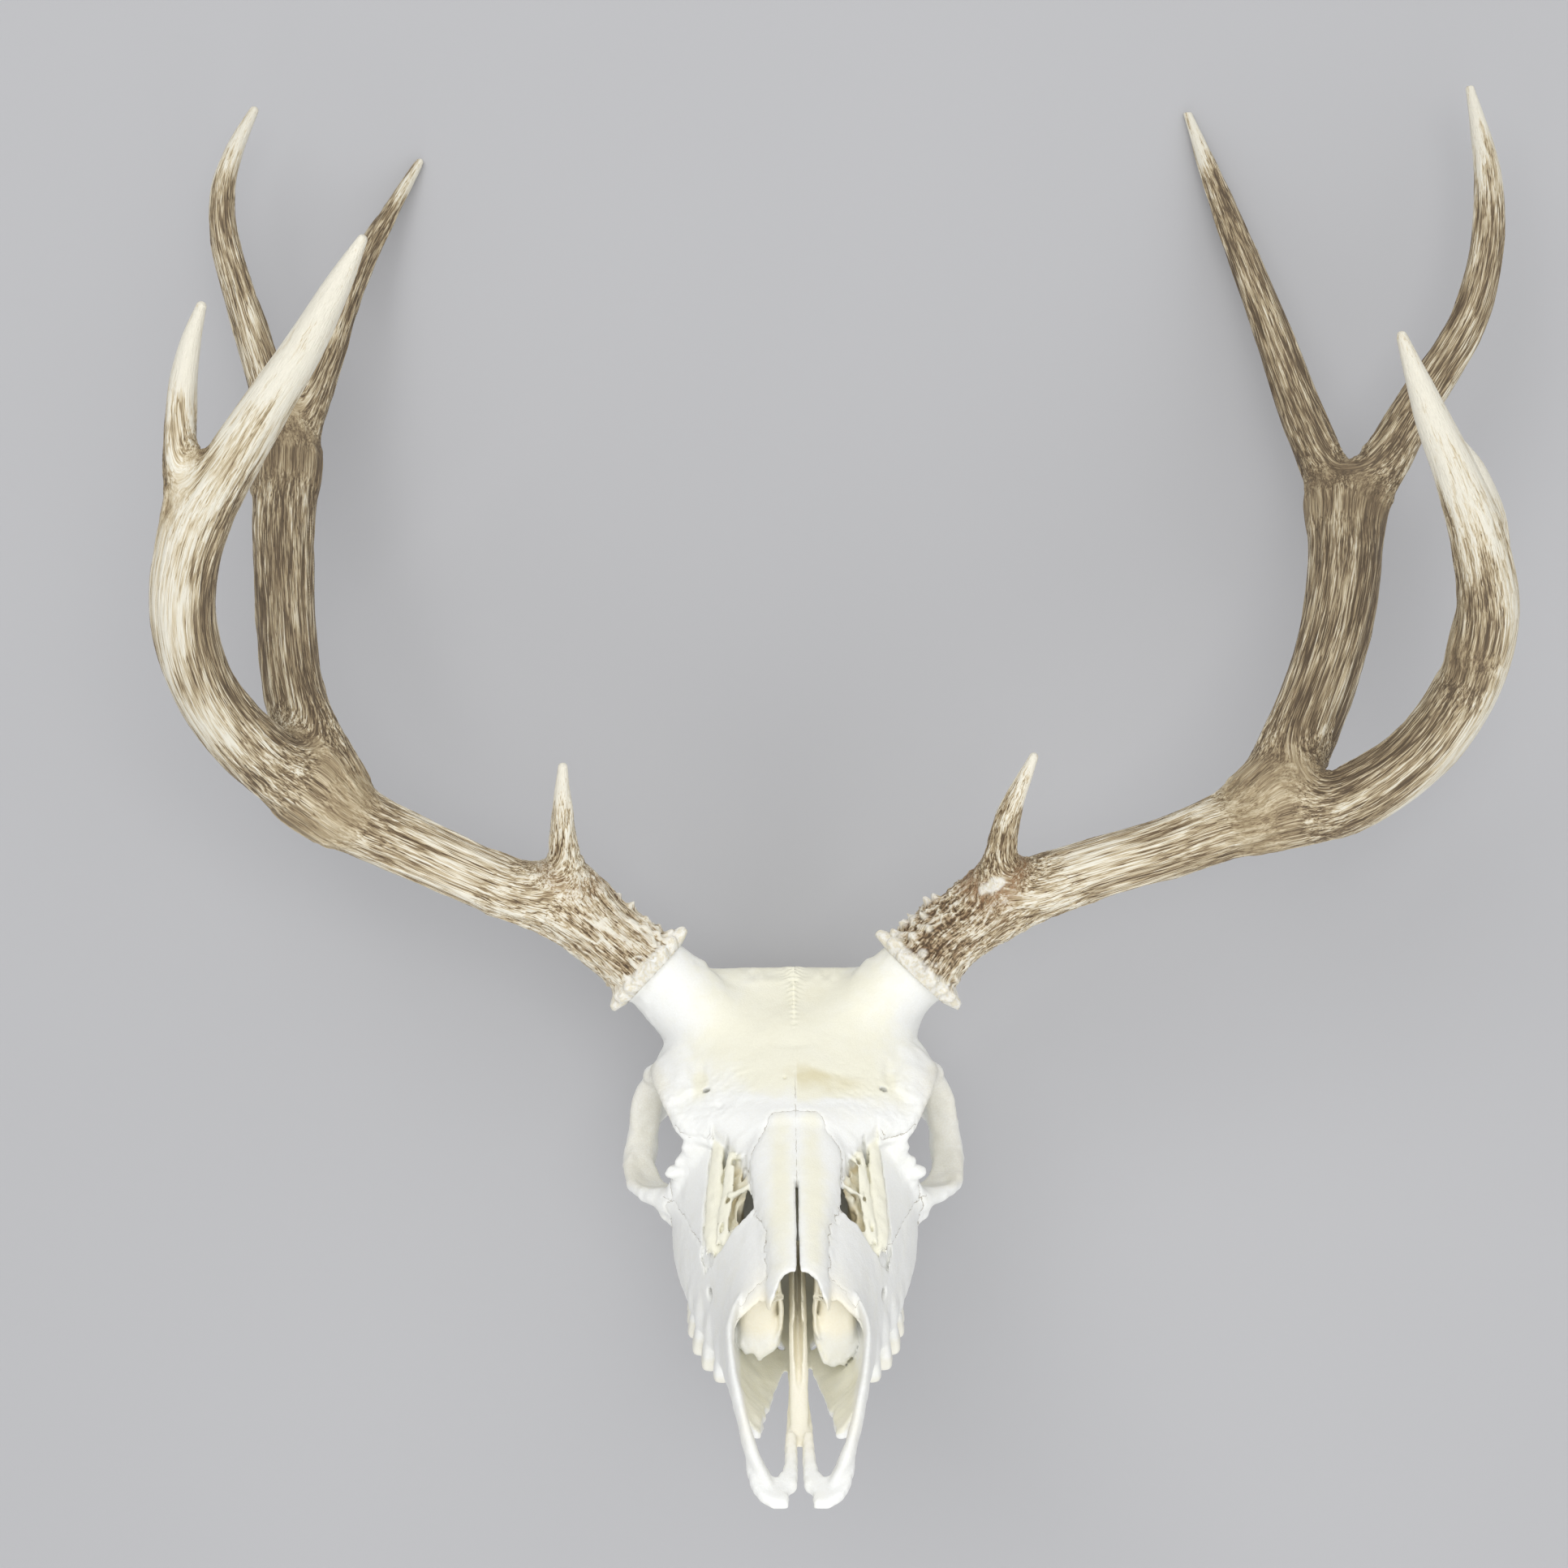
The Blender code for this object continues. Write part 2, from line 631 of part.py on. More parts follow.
def lacrimal_space(side):
    s = dict(SIDES)[side]
    plan = (
        (24, 141), (36, 151.5), (39, 158), (50, 158), (45, 145), (38, 132), (31, 110), (27, 108), (28, 124))
    return prism("lacrimal_space_" + side, [(s * x, y) for x, y in plan], 30, 110, "z")


def bone_spaces():
    """Name and space of each bone, in the order in which they are parted off."""
    snout = ((-10, -20), (47, -20), (50, -5), (77, 47), (60, 90), (-10, 60))
    brow = ((138, 57), (138, 130), (228, 130), (220, 74), (206, 46), (184, 46), (172, 62), (152, 57))
    yield "vomer", prism("vomer_space", ((16, 9.8), (101, 9.8), (101, 46), (16, 46)), -2.6, 2.6, "x")
    for side, _ in SIDES:
        yield "nasal_" + side, nasal_space(side)
        yield "premaxilla_" + side, half_prism("snout_space_" + side, side, snout)
        yield "lacrimal_" + side, lacrimal_space(side)
        yield "zygomatic_" + side, half_prism(
            "zygomatic_space_" + side, side, ((147, 6), (208, 6), (208, 46), (147, 46)), 44.5)
        yield "frontal_" + side, half_prism("brow_space_" + side, side, brow)
    rear = ((256, -40), (300, -40), (300, 90), (262, 90))
    yield "occipital", prism("occipital_space", rear, -80, 80, "x")
    rest = ((164, -40), (290, -40), (290, 110), (164, 110))
    yield "braincase", prism("braincase_space", rest, -80, 80, "x")
    cheek = ((20, -40), (180, -40), (180, 90), (20, 90))
    for side, _ in SIDES:
        yield "maxilla_" + side, half_prism("cheek_space_" + side, side, cheek)


# ---------------------------------------------------------------- antlers

def along_disc(name, centre, axis, radius, low, high):
    """A cylinder round an axis, from low to high along it."""
    bm = bmesh.new()
    bmesh.ops.create_cone(bm, cap_ends=True, segments=16, radius1=radius, radius2=radius, depth=high - low)
    turn = Vector(axis).normalized().to_track_quat("Z", "Y").to_matrix().to_4x4()
    middle = Vector(centre) + Vector(axis).normalized() * (low + high) / 2
    bm.transform(Matrix.Scale(MM, 4) @ Matrix.Translation(middle) @ turn)
    mesh = bpy.data.meshes.new(name)
    bm.to_mesh(mesh)
    bm.free()
    obj = bpy.data.objects.new(name, mesh)
    bpy.context.scene.collection.objects.link(obj)
    return obj


def nearest_gap(obj, point):
    target = Vector(point) * MM
    return min((vert.co - target).length for vert in obj.data.vertices)


def antler(side, cutters_home):
    """One antler fused whole, then parted at its forks into named branches."""
    branches = ANTLERS[side]
    centre, axis = BURR_CENTRES[side], BURR_AXES[side]
    tubes = [tube(branch, path) for branch, path in branches.items()]
    burr = along_disc("burr", centre, axis, BURR_RADIUS, -2.0, 4.5)
    whole = fuse(f"antler_{side}", tubes + [burr], ANTLER_VOXEL, smoothing=4)
    thin_out(whole, ANTLER_TRIANGLES)
    heel = along_disc("heel_" + side, centre, axis, 40.0, -60.0, GAP / 2)
    combine(whole, heel, "DIFFERENCE")
    stow(heel, cutters_home)
    for branch, where in BRANCH_CUTS.items():
        path = branches[branch]
        here, ahead = Vector(catmull(path, where)), Vector(catmull(path, where + 0.02))
        spot, along, radius = here[:3], Vector(ahead[:3]) - Vector(here[:3]), catmull(path, where)[3]
        disc = along_disc(f"cut_{side}_{branch}", spot, along, radius * 1.25 + 1.5, -GAP / 2, GAP / 2)
        combine(whole, disc, "DIFFERENCE")
        stow(disc, cutters_home)
    pieces = islands(whole)
    named = {}
    for branch, path in branches.items():
        middle = catmull(path, 0.6)[:3]
        piece = min(pieces, key=lambda p: nearest_gap(p, middle))
        named[branch] = piece
        piece.name = f"antler_{side}_{branch}"
    for crumb in pieces:
        if crumb not in named.values():
            bpy.data.objects.remove(crumb, do_unlink=True)
    return named


def stand_on_origin(root, pieces):
    """Move the whole so that the middle of its footprint, at its lowest point, is the origin."""
    bpy.context.view_layer.update()
    corners = np.array([piece.matrix_world @ vert.co for piece in pieces for vert in piece.data.vertices])
    low, high = corners.min(axis=0), corners.max(axis=0)
    root.location = (-(low[0] + high[0]) / 2, -(low[1] + high[1]) / 2, -low[2])


def main():
    clear_scene()
    parts_home = new_collection("mule_deer_skull")
    cutters_home = new_collection("cutters")
    bone = material("bone", (0.83, 0.81, 0.76), 0.55)
    beam = material("antler", (0.36, 0.29, 0.21), 0.6)
    tine = material("antler_tip", (0.62, 0.57, 0.47), 0.45)
    root = bpy.data.objects.new("rest_frame", None)
    frame = bpy.data.objects.new("skull_frame", None)
    parts_home.objects.link(root)
    parts_home.objects.link(frame)
    frame.location = (SNOUT_LEAN * LEAN_PIVOT * MM, NOSE_FORWARD * MM, NOSE_HEIGHT * MM)
    frame.rotation_mode = "ZYX"
    frame.rotation_euler = (-PALATE_TILT, 0, SNOUT_LEAN)
    frame.parent = root
    pieces = []
    skull = whole_skull()
    for name, space in bone_spaces():
        piece = part_off(skull, space, name)
        for obj in (piece, space):
            obj.parent = frame
        stow(space, cutters_home)
        finish(piece, parts_home, bone)
        pieces.append(piece)
    bpy.data.objects.remove(skull, do_unlink=True)
    for side, _ in SIDES:
        toe = along_disc("toe_" + side, BURR_CENTRES[side], BURR_AXES[side], 40.0, -GAP / 2, 40.0)
        bpy.context.view_layer.update()
        combine(bpy.data.objects["frontal_" + side], toe, "DIFFERENCE")
        stow(toe, cutters_home)
        for branch, piece in antler(side, cutters_home).items():
            piece.parent = root
            finish(piece, parts_home, tine if branch.endswith("tine") else beam)
            pieces.append(piece)
    stand_on_origin(root, pieces)


main()
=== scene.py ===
"""Looks of the mule deer skull: each bone and antler branch as a finely modelled piece.

Shapes are signed distance fields in millimetres, negative inside. Skull pieces live in the
skull's own frame (x across, y from the nose back, z up from the tooth line) and are then
tilted into the resting pose. Antler pieces live in the resting pose.
"""

import math
from functools import reduce

import bpy
import numpy as np
from mathutils import Euler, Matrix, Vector


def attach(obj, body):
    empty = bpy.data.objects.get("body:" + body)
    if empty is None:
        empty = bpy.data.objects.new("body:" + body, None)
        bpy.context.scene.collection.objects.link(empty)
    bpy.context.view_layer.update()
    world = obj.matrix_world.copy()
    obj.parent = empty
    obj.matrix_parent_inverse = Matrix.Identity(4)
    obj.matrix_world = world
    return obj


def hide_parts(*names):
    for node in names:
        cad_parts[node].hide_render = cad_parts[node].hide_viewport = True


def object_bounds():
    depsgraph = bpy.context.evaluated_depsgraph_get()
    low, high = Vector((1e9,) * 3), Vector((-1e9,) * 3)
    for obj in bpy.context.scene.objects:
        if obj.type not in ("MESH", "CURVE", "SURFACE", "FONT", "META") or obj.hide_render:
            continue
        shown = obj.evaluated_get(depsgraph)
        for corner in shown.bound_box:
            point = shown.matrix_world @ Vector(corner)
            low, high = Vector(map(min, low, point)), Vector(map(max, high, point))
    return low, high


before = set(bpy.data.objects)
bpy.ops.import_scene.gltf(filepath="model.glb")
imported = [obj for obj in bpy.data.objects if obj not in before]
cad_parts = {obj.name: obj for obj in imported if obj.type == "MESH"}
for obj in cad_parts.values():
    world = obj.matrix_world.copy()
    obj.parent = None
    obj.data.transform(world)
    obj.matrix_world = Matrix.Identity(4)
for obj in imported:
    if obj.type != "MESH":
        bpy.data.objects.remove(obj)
cad_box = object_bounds()

MM = 0.001
FAR = 60.0                              # distance given where nothing is near
# The resting pose
REST_SHIFT = np.array((-25.110, -26.688, 0.164))    # puts the footprint's middle on the origin
NOSE_HEIGHT = 257.0
NOSE_FORWARD = -231.0
PALATE_TILT = math.radians(68.0)
SNOUT_LEAN = math.radians(0.51)         # the snout's tip lies a little to the viewer's right
LEAN_PIVOT = 200.0                      # y at which that lean starts
# The skull and the antlers
ORBIT_DIAMETER = 45.0
TOOTH_ROW_START = 83.0
TOOTH_ROW_LENGTH = 78.0
TOOTH_SHARES = (0.13, 0.14, 0.14, 0.18, 0.20, 0.21)    # each tooth's part of the row
BURR_RADIUS = 15.2
BURR_CENTRES = {"left": (-52.5, -68.0, 105.0), "right": (46.0, -69.0, 105.0)}
BURR_AXES = {"left": (-0.73, 0.68, 0.0), "right": (0.69, 0.73, 0.0)}
FOOT_DEPTH = 2.2                        # how far an antler goes on below its burr's centre
PEDICLE_END = 2.0                       # how far the skull's surface goes on beyond it
TIP = 1.7                               # radius at the end of a tine
FORK_BLEND = 7.0                        # rounding where one branch leaves another
BROW_BLEND = 12.0
SIDES = (("left", -1.0), ("right", 1.0))
# Grids of the fields
SKULL_STEP = 0.6
ANTLER_STEP = 2.4                       # its mesh is divided twice

# Body lofts of the skull:
# (y, half width, top, bottom, height of the widest line, top roundness, bottom roundness)
FACE = (
    (41.5, 17.8, 14, 5, 9, 2.4, 3.0),
    (50, 20.0, 24, 3, 12, 2.4, 3.0),
    (61, 22.5, 34, 1, 12, 2.6, 3.0),
    (72, 24.5, 44, 0, 12, 2.5, 3.4),
    (86, 27.0, 50.6, 0, 10, 2.1, 4.0),
    (101, 31.5, 57, 0, 9, 1.8, 4.5),
    (116, 36.5, 62, 0, 9, 1.8, 5.0),
    (131, 41.0, 67, 0, 11, 1.8, 4.5),
    (146, 44.0, 72, 0, 16, 1.9, 4.0),
    (159, 43.0, 76, 1, 20, 2.0, 3.0),
    (170, 34.0, 79, 14, 26, 2.0, 2.5),
)
NASALS = (
    (57, 10.4, 45.2, 34, 37, 2.3, 2.0),
    (70.5, 10.8, 50.6, 37, 39, 2.3, 2.0),
    (86, 11.2, 54.8, 40, 45, 2.3, 2.0),
    (104, 13.0, 59.6, 44, 51, 2.4, 2.0),
    (124, 16.5, 65, 48, 56, 2.5, 2.0),
    (139, 14.0, 69.8, 50, 59, 2.6, 2.0),
)
FOREHEAD = (
    (137, 20.0, 69.2, 52, 56, 2.4, 2.0),
    (147, 39.0, 71.8, 52, 56, 1.8, 2.0),
    (155, 44.0, 75, 53, 59, 1.65, 2.0),
    (164, 46.5, 79, 56, 61, 1.7, 2.0),
    (178, 46.5, 85, 57, 63, 1.95, 2.0),
    (190, 45.5, 87.4, 57, 65, 2.6, 2.0),
    (204, 45.0, 91.2, 58, 73, 5.0, 2.0),
    (214, 42.0, 88.8, 56, 72, 5.0, 2.0),
    (230, 33.0, 76, 50, 62, 2.4, 2.0),
)
BRAINCASE = (
    (188, 26.0, 76, 22, 48, 2.2, 2.2),
    (204, 33.0, 82, 15, 46, 2.2, 2.2),
    (220, 37.0, 79, 11, 44, 2.2, 2.2),
    (236, 38.5, 73, 9, 40, 2.2, 2.4),
    (251, 38.0, 65, 8, 36, 2.2, 2.6),
    (263, 36.0, 56, 8, 32, 2.4, 2.8),
    (270, 31.0, 50, 10, 30, 2.4, 2.8),
    (274, 22.0, 42, 16, 28, 2.2, 2.4),
)
SKULL_BASE = (
    (158, 16.0, 62, 12, 34, 2.5, 2.5),
    (176, 14.0, 64, 10, 34, 2.5, 2.5),
    (200, 15.0, 56, 7, 28, 2.5, 2.5),
    (230, 16.0, 40, 4, 20, 2.5, 2.5),
    (256, 17.0, 38, 3, 18, 2.5, 2.5),
    (273, 15.0, 34, 4, 16, 2.5, 2.5),
)

# Centre lines of the antler branches at rest, mm: (x, y, height, radius)
ANTLERS = {
    "left": {
        "base": (
            (-49, -72, 105, 14.5), (-65, -58.5, 104, 13.3), (-84, -45, 106, 13),
            (-107.5, -37, 110, 11.2), (-136, -24, 116, 11.2), (-159.5, -12, 123, 12.4),
            (-174, -1, 127, 14)),
        "brow_tine": (
            (-80, -42, 106, 8), (-83, -26, 117, 5.4), (-83, -11, 127, 3.8), (-82, 6, 136, TIP)),
        "rear_beam": (
            (-168, 2, 127, 13.5), (-181, 30.5, 116, 10.8), (-188, 62, 98, 10.7),
            (-192.5, 94, 81, 11.4), (-194, 122, 67, 12.5)),
        "rear_inner_tine": (
            (-194, 116, 69, 9.5), (-189, 143, 56, 7.8), (-183, 171, 41, 6.6), (-175, 204, 24, 5.0),
            (-165, 229, 12, 3.6), (-153, 255, 1.4, TIP)),
        "rear_outer_tine": (
            (-194, 118, 69, 9), (-202, 152, 62, 7.2), (-212.5, 184, 57, 6.3), (-221, 211, 53, 5.3),
            (-222.5, 232, 49, 4.5), (-218.5, 249, 46, 3.4), (-212, 265, 42, TIP)),
        "front_beam": (
            (-166, -7, 127, 13), (-187, 10, 145, 12), (-200.5, 30, 165, 10.8),
            (-204.5, 52, 184, 10.7), (-201, 74, 196, 10.6), (-191, 93, 205, 9.6),
            (-175, 115, 214, 8.2), (-157, 139, 223, 6.3), (-145, 157, 230, 4.3),
            (-136, 171, 235, TIP)),
        "front_tine": (
            (-200, 82, 199, 6.0), (-200.5, 106, 206, 5.6), (-198, 127, 213, 4.6),
            (-194, 141, 219, 3.3), (-189, 152, 225, TIP)),
    },
    "right": {
        "base": (
            (43, -72, 105, 14.5), (56.5, -56.5, 104, 13.3), (78, -43, 106, 12.6),
            (106, -32.5, 110, 11.2), (136, -23, 116, 11.2), (160, -13.5, 123, 12.6),
            (175.5, -5.5, 127, 14)),
        "brow_tine": (
            (72, -43, 107, 8), (74.5, -28, 117, 5.8), (77, -11, 128, 4.4), (85, 9.5, 137, TIP)),
        "rear_beam": (
            (171, -6, 126, 14), (187.5, 24, 112, 12.6), (200.5, 53, 95, 13), (208.5, 82, 79, 13.5),
            (211, 106, 67, 14)),
        "rear_inner_tine": (
            (210, 101, 69, 10), (204.5, 126, 56, 8.8), (197.5, 152, 43, 7.9), (188, 190, 27, 6.8),
            (176.5, 229, 13, 5.2), (162, 275, 1.4, TIP)),
        "rear_outer_tine": (
            (212, 100, 69, 11), (227, 124, 66, 9.4), (242.5, 149, 62, 8), (261, 178, 57, 7.2),
            (270, 208, 52, 6.5), (272, 240, 46, 5), (267, 274, 40, TIP)),
        "front_beam": (
            (168, -10.5, 126, 12.6), (194.5, -6, 140, 11.8), (217, 11.5, 158, 11),
            (229, 34.5, 175, 10.5), (231, 57, 189, 10.2), (224.5, 80, 201, 8.9),
            (215, 99.5, 210, 7.1), (204, 118.5, 219, 5.3), (192, 142, 229, TIP)),
        "front_tine": (
            (228, 44, 183, 6), (234, 64, 179, 6.4), (237, 87, 173, 5.2), (234, 106, 166, 3.6),
            (230, 117, 161, TIP)),
    },
}
# Where each branch is parted from the one that carries it: how far along its line
BRANCH_CUTS = {
    "brow_tine": 0.30,
    "rear_beam": 0.24,
    "rear_inner_tine": 0.34,
    "rear_outer_tine": 0.22,
    "front_beam": 0.15,
    "front_tine": 0.38,
}
PARENTS = {
    "brow_tine": "base",
    "rear_beam": "base",
    "rear_inner_tine": "rear_beam",
    "rear_outer_tine": "rear_beam",
    "front_beam": "base",
    "front_tine": "front_beam",
}


# ---------------------------------------------------------------- numbers

def catmull(points, t):
    """Point at t (0..1) on a smooth curve through the given tuples."""
    span = t * (len(points) - 1)
    i = min(int(span), len(points) - 2)
    u = span - i
    p0 = points[max(i - 1, 0)]
    p1, p2 = points[i], points[i + 1]
    p3 = points[min(i + 2, len(points) - 1)]
    return tuple(
        0.5 * (2 * b + (c - a) * u + (2 * a - 5 * b + 4 * c - d) * u * u
               + (3 * b - a - 3 * c + d) * u ** 3)
        for a, b, c, d in zip(p0, p1, p2, p3))


def curve_rows(points, steps):
    count = (len(points) - 1) * steps
    return np.array([catmull(points, s / count) for s in range(count + 1)], np.float32)


def smoothstep(low, high, value):
    t = np.clip((value - low) / (high - low), 0, 1)
    return t * t * (3 - 2 * t)


def smooth_min(a, b, blend):
    if blend <= 0:
        return np.minimum(a, b)
    near = np.maximum(blend - np.abs(a - b), 0) / blend
    return np.minimum(a, b) - near * near * (blend * 0.25)


def smooth_max(a, b, blend):
    return -smooth_min(-a, -b, blend)


def highest(*values):
    return reduce(np.maximum, values)


def unit(vector):
    return vector / np.linalg.norm(vector)


def lattice(ix, iy, iz, seed):
    """A fixed random number in -1..1 for each whole-numbered place."""
    h = ix.astype(np.uint32) * np.uint32(374761393) + iy.astype(np.uint32) * np.uint32(668265263)
    h = h + iz.astype(np.uint32) * np.uint32(2246822519) + np.uint32(seed * 3266489917 % 4294967296)
    h = (h ^ (h >> np.uint32(13))) * np.uint32(1274126177)
    h = (h ^ (h >> np.uint32(16))) * np.uint32(2246822519)
    h = h ^ (h >> np.uint32(15))
    return h.astype(np.float32) * np.float32(2 / 4294967295) - 1


def noise(x, y, z, seed=0):
    """Smooth noise in -1..1 with a feature size of one unit."""
    x, y, z = np.broadcast_arrays(x, y, z)
    fx, fy, fz = np.floor(x), np.floor(y), np.floor(z)
    ix, iy, iz = fx.astype(np.int32), fy.astype(np.int32), fz.astype(np.int32)
    u, v, w = x - fx, y - fy, z - fz
    u, v, w = (t * t * (3 - 2 * t) for t in (u, v, w))
    total = 0
    for dx in (0, 1):
        for dy in (0, 1):
            for dz in (0, 1):
                share = (u if dx else 1 - u) * (v if dy else 1 - v) * (w if dz else 1 - w)
                total = total + share * lattice(ix + dx, iy + dy, iz + dz, seed)
    return total


def layered(x, y, z, octaves, seed=0):
    total, size = 0, 1.0
    for k in range(octaves):
        total = total + size * noise(x * 2 ** k, y * 2 ** k, z * 2 ** k, seed + k)
        size *= 0.5
    return total


def cells(x, y, z, seed=0):
    """Distance to the nearest of a jittered lattice of points, in units of the lattice."""
    fx, fy, fz = np.floor(x), np.floor(y), np.floor(z)
    best = np.full(x.shape, 9.0, np.float32)
    for dx in (-1, 0, 1):
        for dy in (-1, 0, 1):
            for dz in (-1, 0, 1):
                cx, cy, cz = fx + dx, fy + dy, fz + dz
                ix, iy, iz = cx.astype(np.int32), cy.astype(np.int32), cz.astype(np.int32)
                px = cx + 0.5 + 0.45 * lattice(ix, iy, iz, seed)
                py = cy + 0.5 + 0.45 * lattice(ix, iy, iz, seed + 1)
                pz = cz + 0.5 + 0.45 * lattice(ix, iy, iz, seed + 2)
                best = np.minimum(best, (px - x) ** 2 + (py - y) ** 2 + (pz - z) ** 2)
    return np.sqrt(best)


def polygon_distance(px, py, polygon):
    """Signed distance in the plane to a polygon, negative inside."""
    best = np.full(np.broadcast(px, py).shape, 1e6, np.float32)
    inside = np.zeros(best.shape, bool)
    for (ax, ay), (bx, by) in zip(polygon, polygon[1:] + polygon[:1]):
        ex, ey = bx - ax, by - ay
        t = np.clip(((px - ax) * ex + (py - ay) * ey) / (ex * ex + ey * ey), 0, 1)
        best = np.minimum(best, (px - ax - t * ex) ** 2 + (py - ay - t * ey) ** 2)
        if ay != by:
            crosses = (ay > py) != (by > py)
            inside ^= crosses & (px < ex * (py - ay) / ey + ax)
    return np.where(inside, -1, 1) * np.sqrt(best)


# ---------------------------------------------------------------- fields

class Field:
    """Signed distance on a regular grid."""

    def __init__(self, low, high, step):
        self.step = step
        self.axes = [np.arange(a, b + step, step, dtype=np.float32) for a, b in zip(low, high)]
        self.value = np.full([len(axis) for axis in self.axes], FAR, np.float32)

    def combine(self, join, sign, shape, blend):
        """Join a shape to the field where it reaches."""
        low, high, distance = shape
        pad = blend + 2 * self.step
        part = []
        for axis, a, b in zip(self.axes, low, high):
            first = max(0, int(np.searchsorted(axis, a - pad)) - 1)
            part.append(slice(first, max(first + 1, int(np.searchsorted(axis, b + pad)) + 1)))
        x, y, z = (axis[cut] for axis, cut in zip(self.axes, part))
        part = tuple(part)
        if self.value[part].size:
            value = distance(x[:, None, None], y[None, :, None], z[None, None, :])
            self.value[part] = join(self.value[part], sign * value, blend)

    def add(self, shape, blend=2.0):
        self.combine(smooth_min, 1, shape, blend)

    def cut(self, shape, blend=1.0):
        self.combine(smooth_max, -1, shape, blend)


def loft_shape(stations, steps=8):
    """A body along y whose section is a rounded box from the station table."""
    rows = curve_rows(stations, steps)
    low = (-rows[:, 1].max(), rows[0, 0], rows[:, 3].min())
    high = (rows[:, 1].max(), rows[-1, 0], rows[:, 2].max())

    def distance(x, y, z):
        half, top, bottom, level, round_top, round_bottom = (
            np.interp(y.ravel(), rows[:, 0], column).astype(np.float32)[None, :, None]
            for column in rows[:, 1:].T)
        upper = z >= level
        reach = np.where(upper, top - level, level - bottom)
        power = np.where(upper, round_top, round_bottom)
        ratio = ((np.abs(x) / half) ** power + (np.abs(z - level) / reach) ** power) ** (1 / power)
        size = np.sqrt(x * x + (z - level) ** 2)
        across = size * (1 - 1 / np.maximum(ratio, 1e-3))
        return smooth_max(across, np.maximum(rows[0, 0] - y, y - rows[-1, 0]), 2.0)

    return low, high, distance


def ball_shape(centre, radii, turn=(0, 0, 0), power=2.0):
    turned = Euler([math.radians(a) for a in turn]).to_matrix()
    reach = max(radii)
    low, high = [c - reach for c in centre], [c + reach for c in centre]

    def distance(x, y, z):
        px, py, pz = x - centre[0], y - centre[1], z - centre[2]
        parts = [turned[0][k] * px + turned[1][k] * py + turned[2][k] * pz for k in range(3)]
        size = np.sqrt(parts[0] ** 2 + parts[1] ** 2 + parts[2] ** 2)
        ratio = sum(np.abs(p / r) ** power for p, r in zip(parts, radii)) ** (1 / power)
        return size * (1 - 1 / np.maximum(ratio, 1e-3))

    return low, high, distance


def sweep_shape(path, up, steps=5):
    """A tapered oval bar: path rows are (x, y, z, half width, half thickness)."""
    rows = curve_rows(path, steps)
    reach = rows[:, 3:].max()
    low, high = rows[:, :3].min(axis=0) - reach, rows[:, :3].max(axis=0) + reach

    def distance(x, y, z):
        out = np.full((x.size, y.size, z.size), FAR, np.float32)
        for a, b in zip(rows[:-1], rows[1:]):
            margin = max(a[3:].max(), b[3:].max()) + 6.0
            low, high = np.minimum(a, b) - margin, np.maximum(a, b) + margin
            part = tuple(
                slice(*np.searchsorted(axis.ravel(), (low[k], high[k])).tolist())
                for k, axis in enumerate((x, y, z)))
            if not out[part].size:
                continue
            px, py, pz = x[part[0]] - a[0], y[:, part[1]] - a[1], z[:, :, part[2]] - a[2]
            step = b[:3] - a[:3]
            length = float(np.linalg.norm(step))
            along = step / length
            wide = unit(np.cross(along, up))
            thick = np.cross(wide, along)
            run = px * along[0] + py * along[1] + pz * along[2]
            t = np.clip(run / length, 0, 1)
            half_wide = a[3] + (b[3] - a[3]) * t
            half_thick = a[4] + (b[4] - a[4]) * t
            u = px * wide[0] + py * wide[1] + pz * wide[2]
            v = px * thick[0] + py * thick[1] + pz * thick[2]
            w = run - t * length
            cap = np.minimum(half_wide, half_thick)
            ratio = np.sqrt((u / half_wide) ** 2 + (v / half_thick) ** 2 + (w / cap) ** 2)
            size = np.sqrt(u * u + v * v + w * w)
            out[part] = np.minimum(out[part], size * (1 - 1 / np.maximum(ratio, 1e-3)))
        return out

    return low, high, distance


def prism_shape(outline, low, high):
    """A flat outline of (x, y) points raised from one height to another."""
    xs, ys = [p[0] for p in outline], [p[1] for p in outline]

    def distance(x, y, z):
        flat = polygon_distance(x, y, outline)
        return smooth_max(flat, np.maximum(low - z, z - high), 1.0)

    return (min(xs), min(ys), low), (max(xs), max(ys), high), distance


def rough(shape, amount, size, seed):
    """The same shape with an uneven skin."""
    low, high, distance = shape

    def uneven(x, y, z):
        return distance(x, y, z) + amount * noise(x / size, y / size, z / size, seed)

    return low, high, uneven


def mirrored(make):
    """The shapes that make() gives for both sides."""
    return [shape for _, s in SIDES for shape in make(s)]


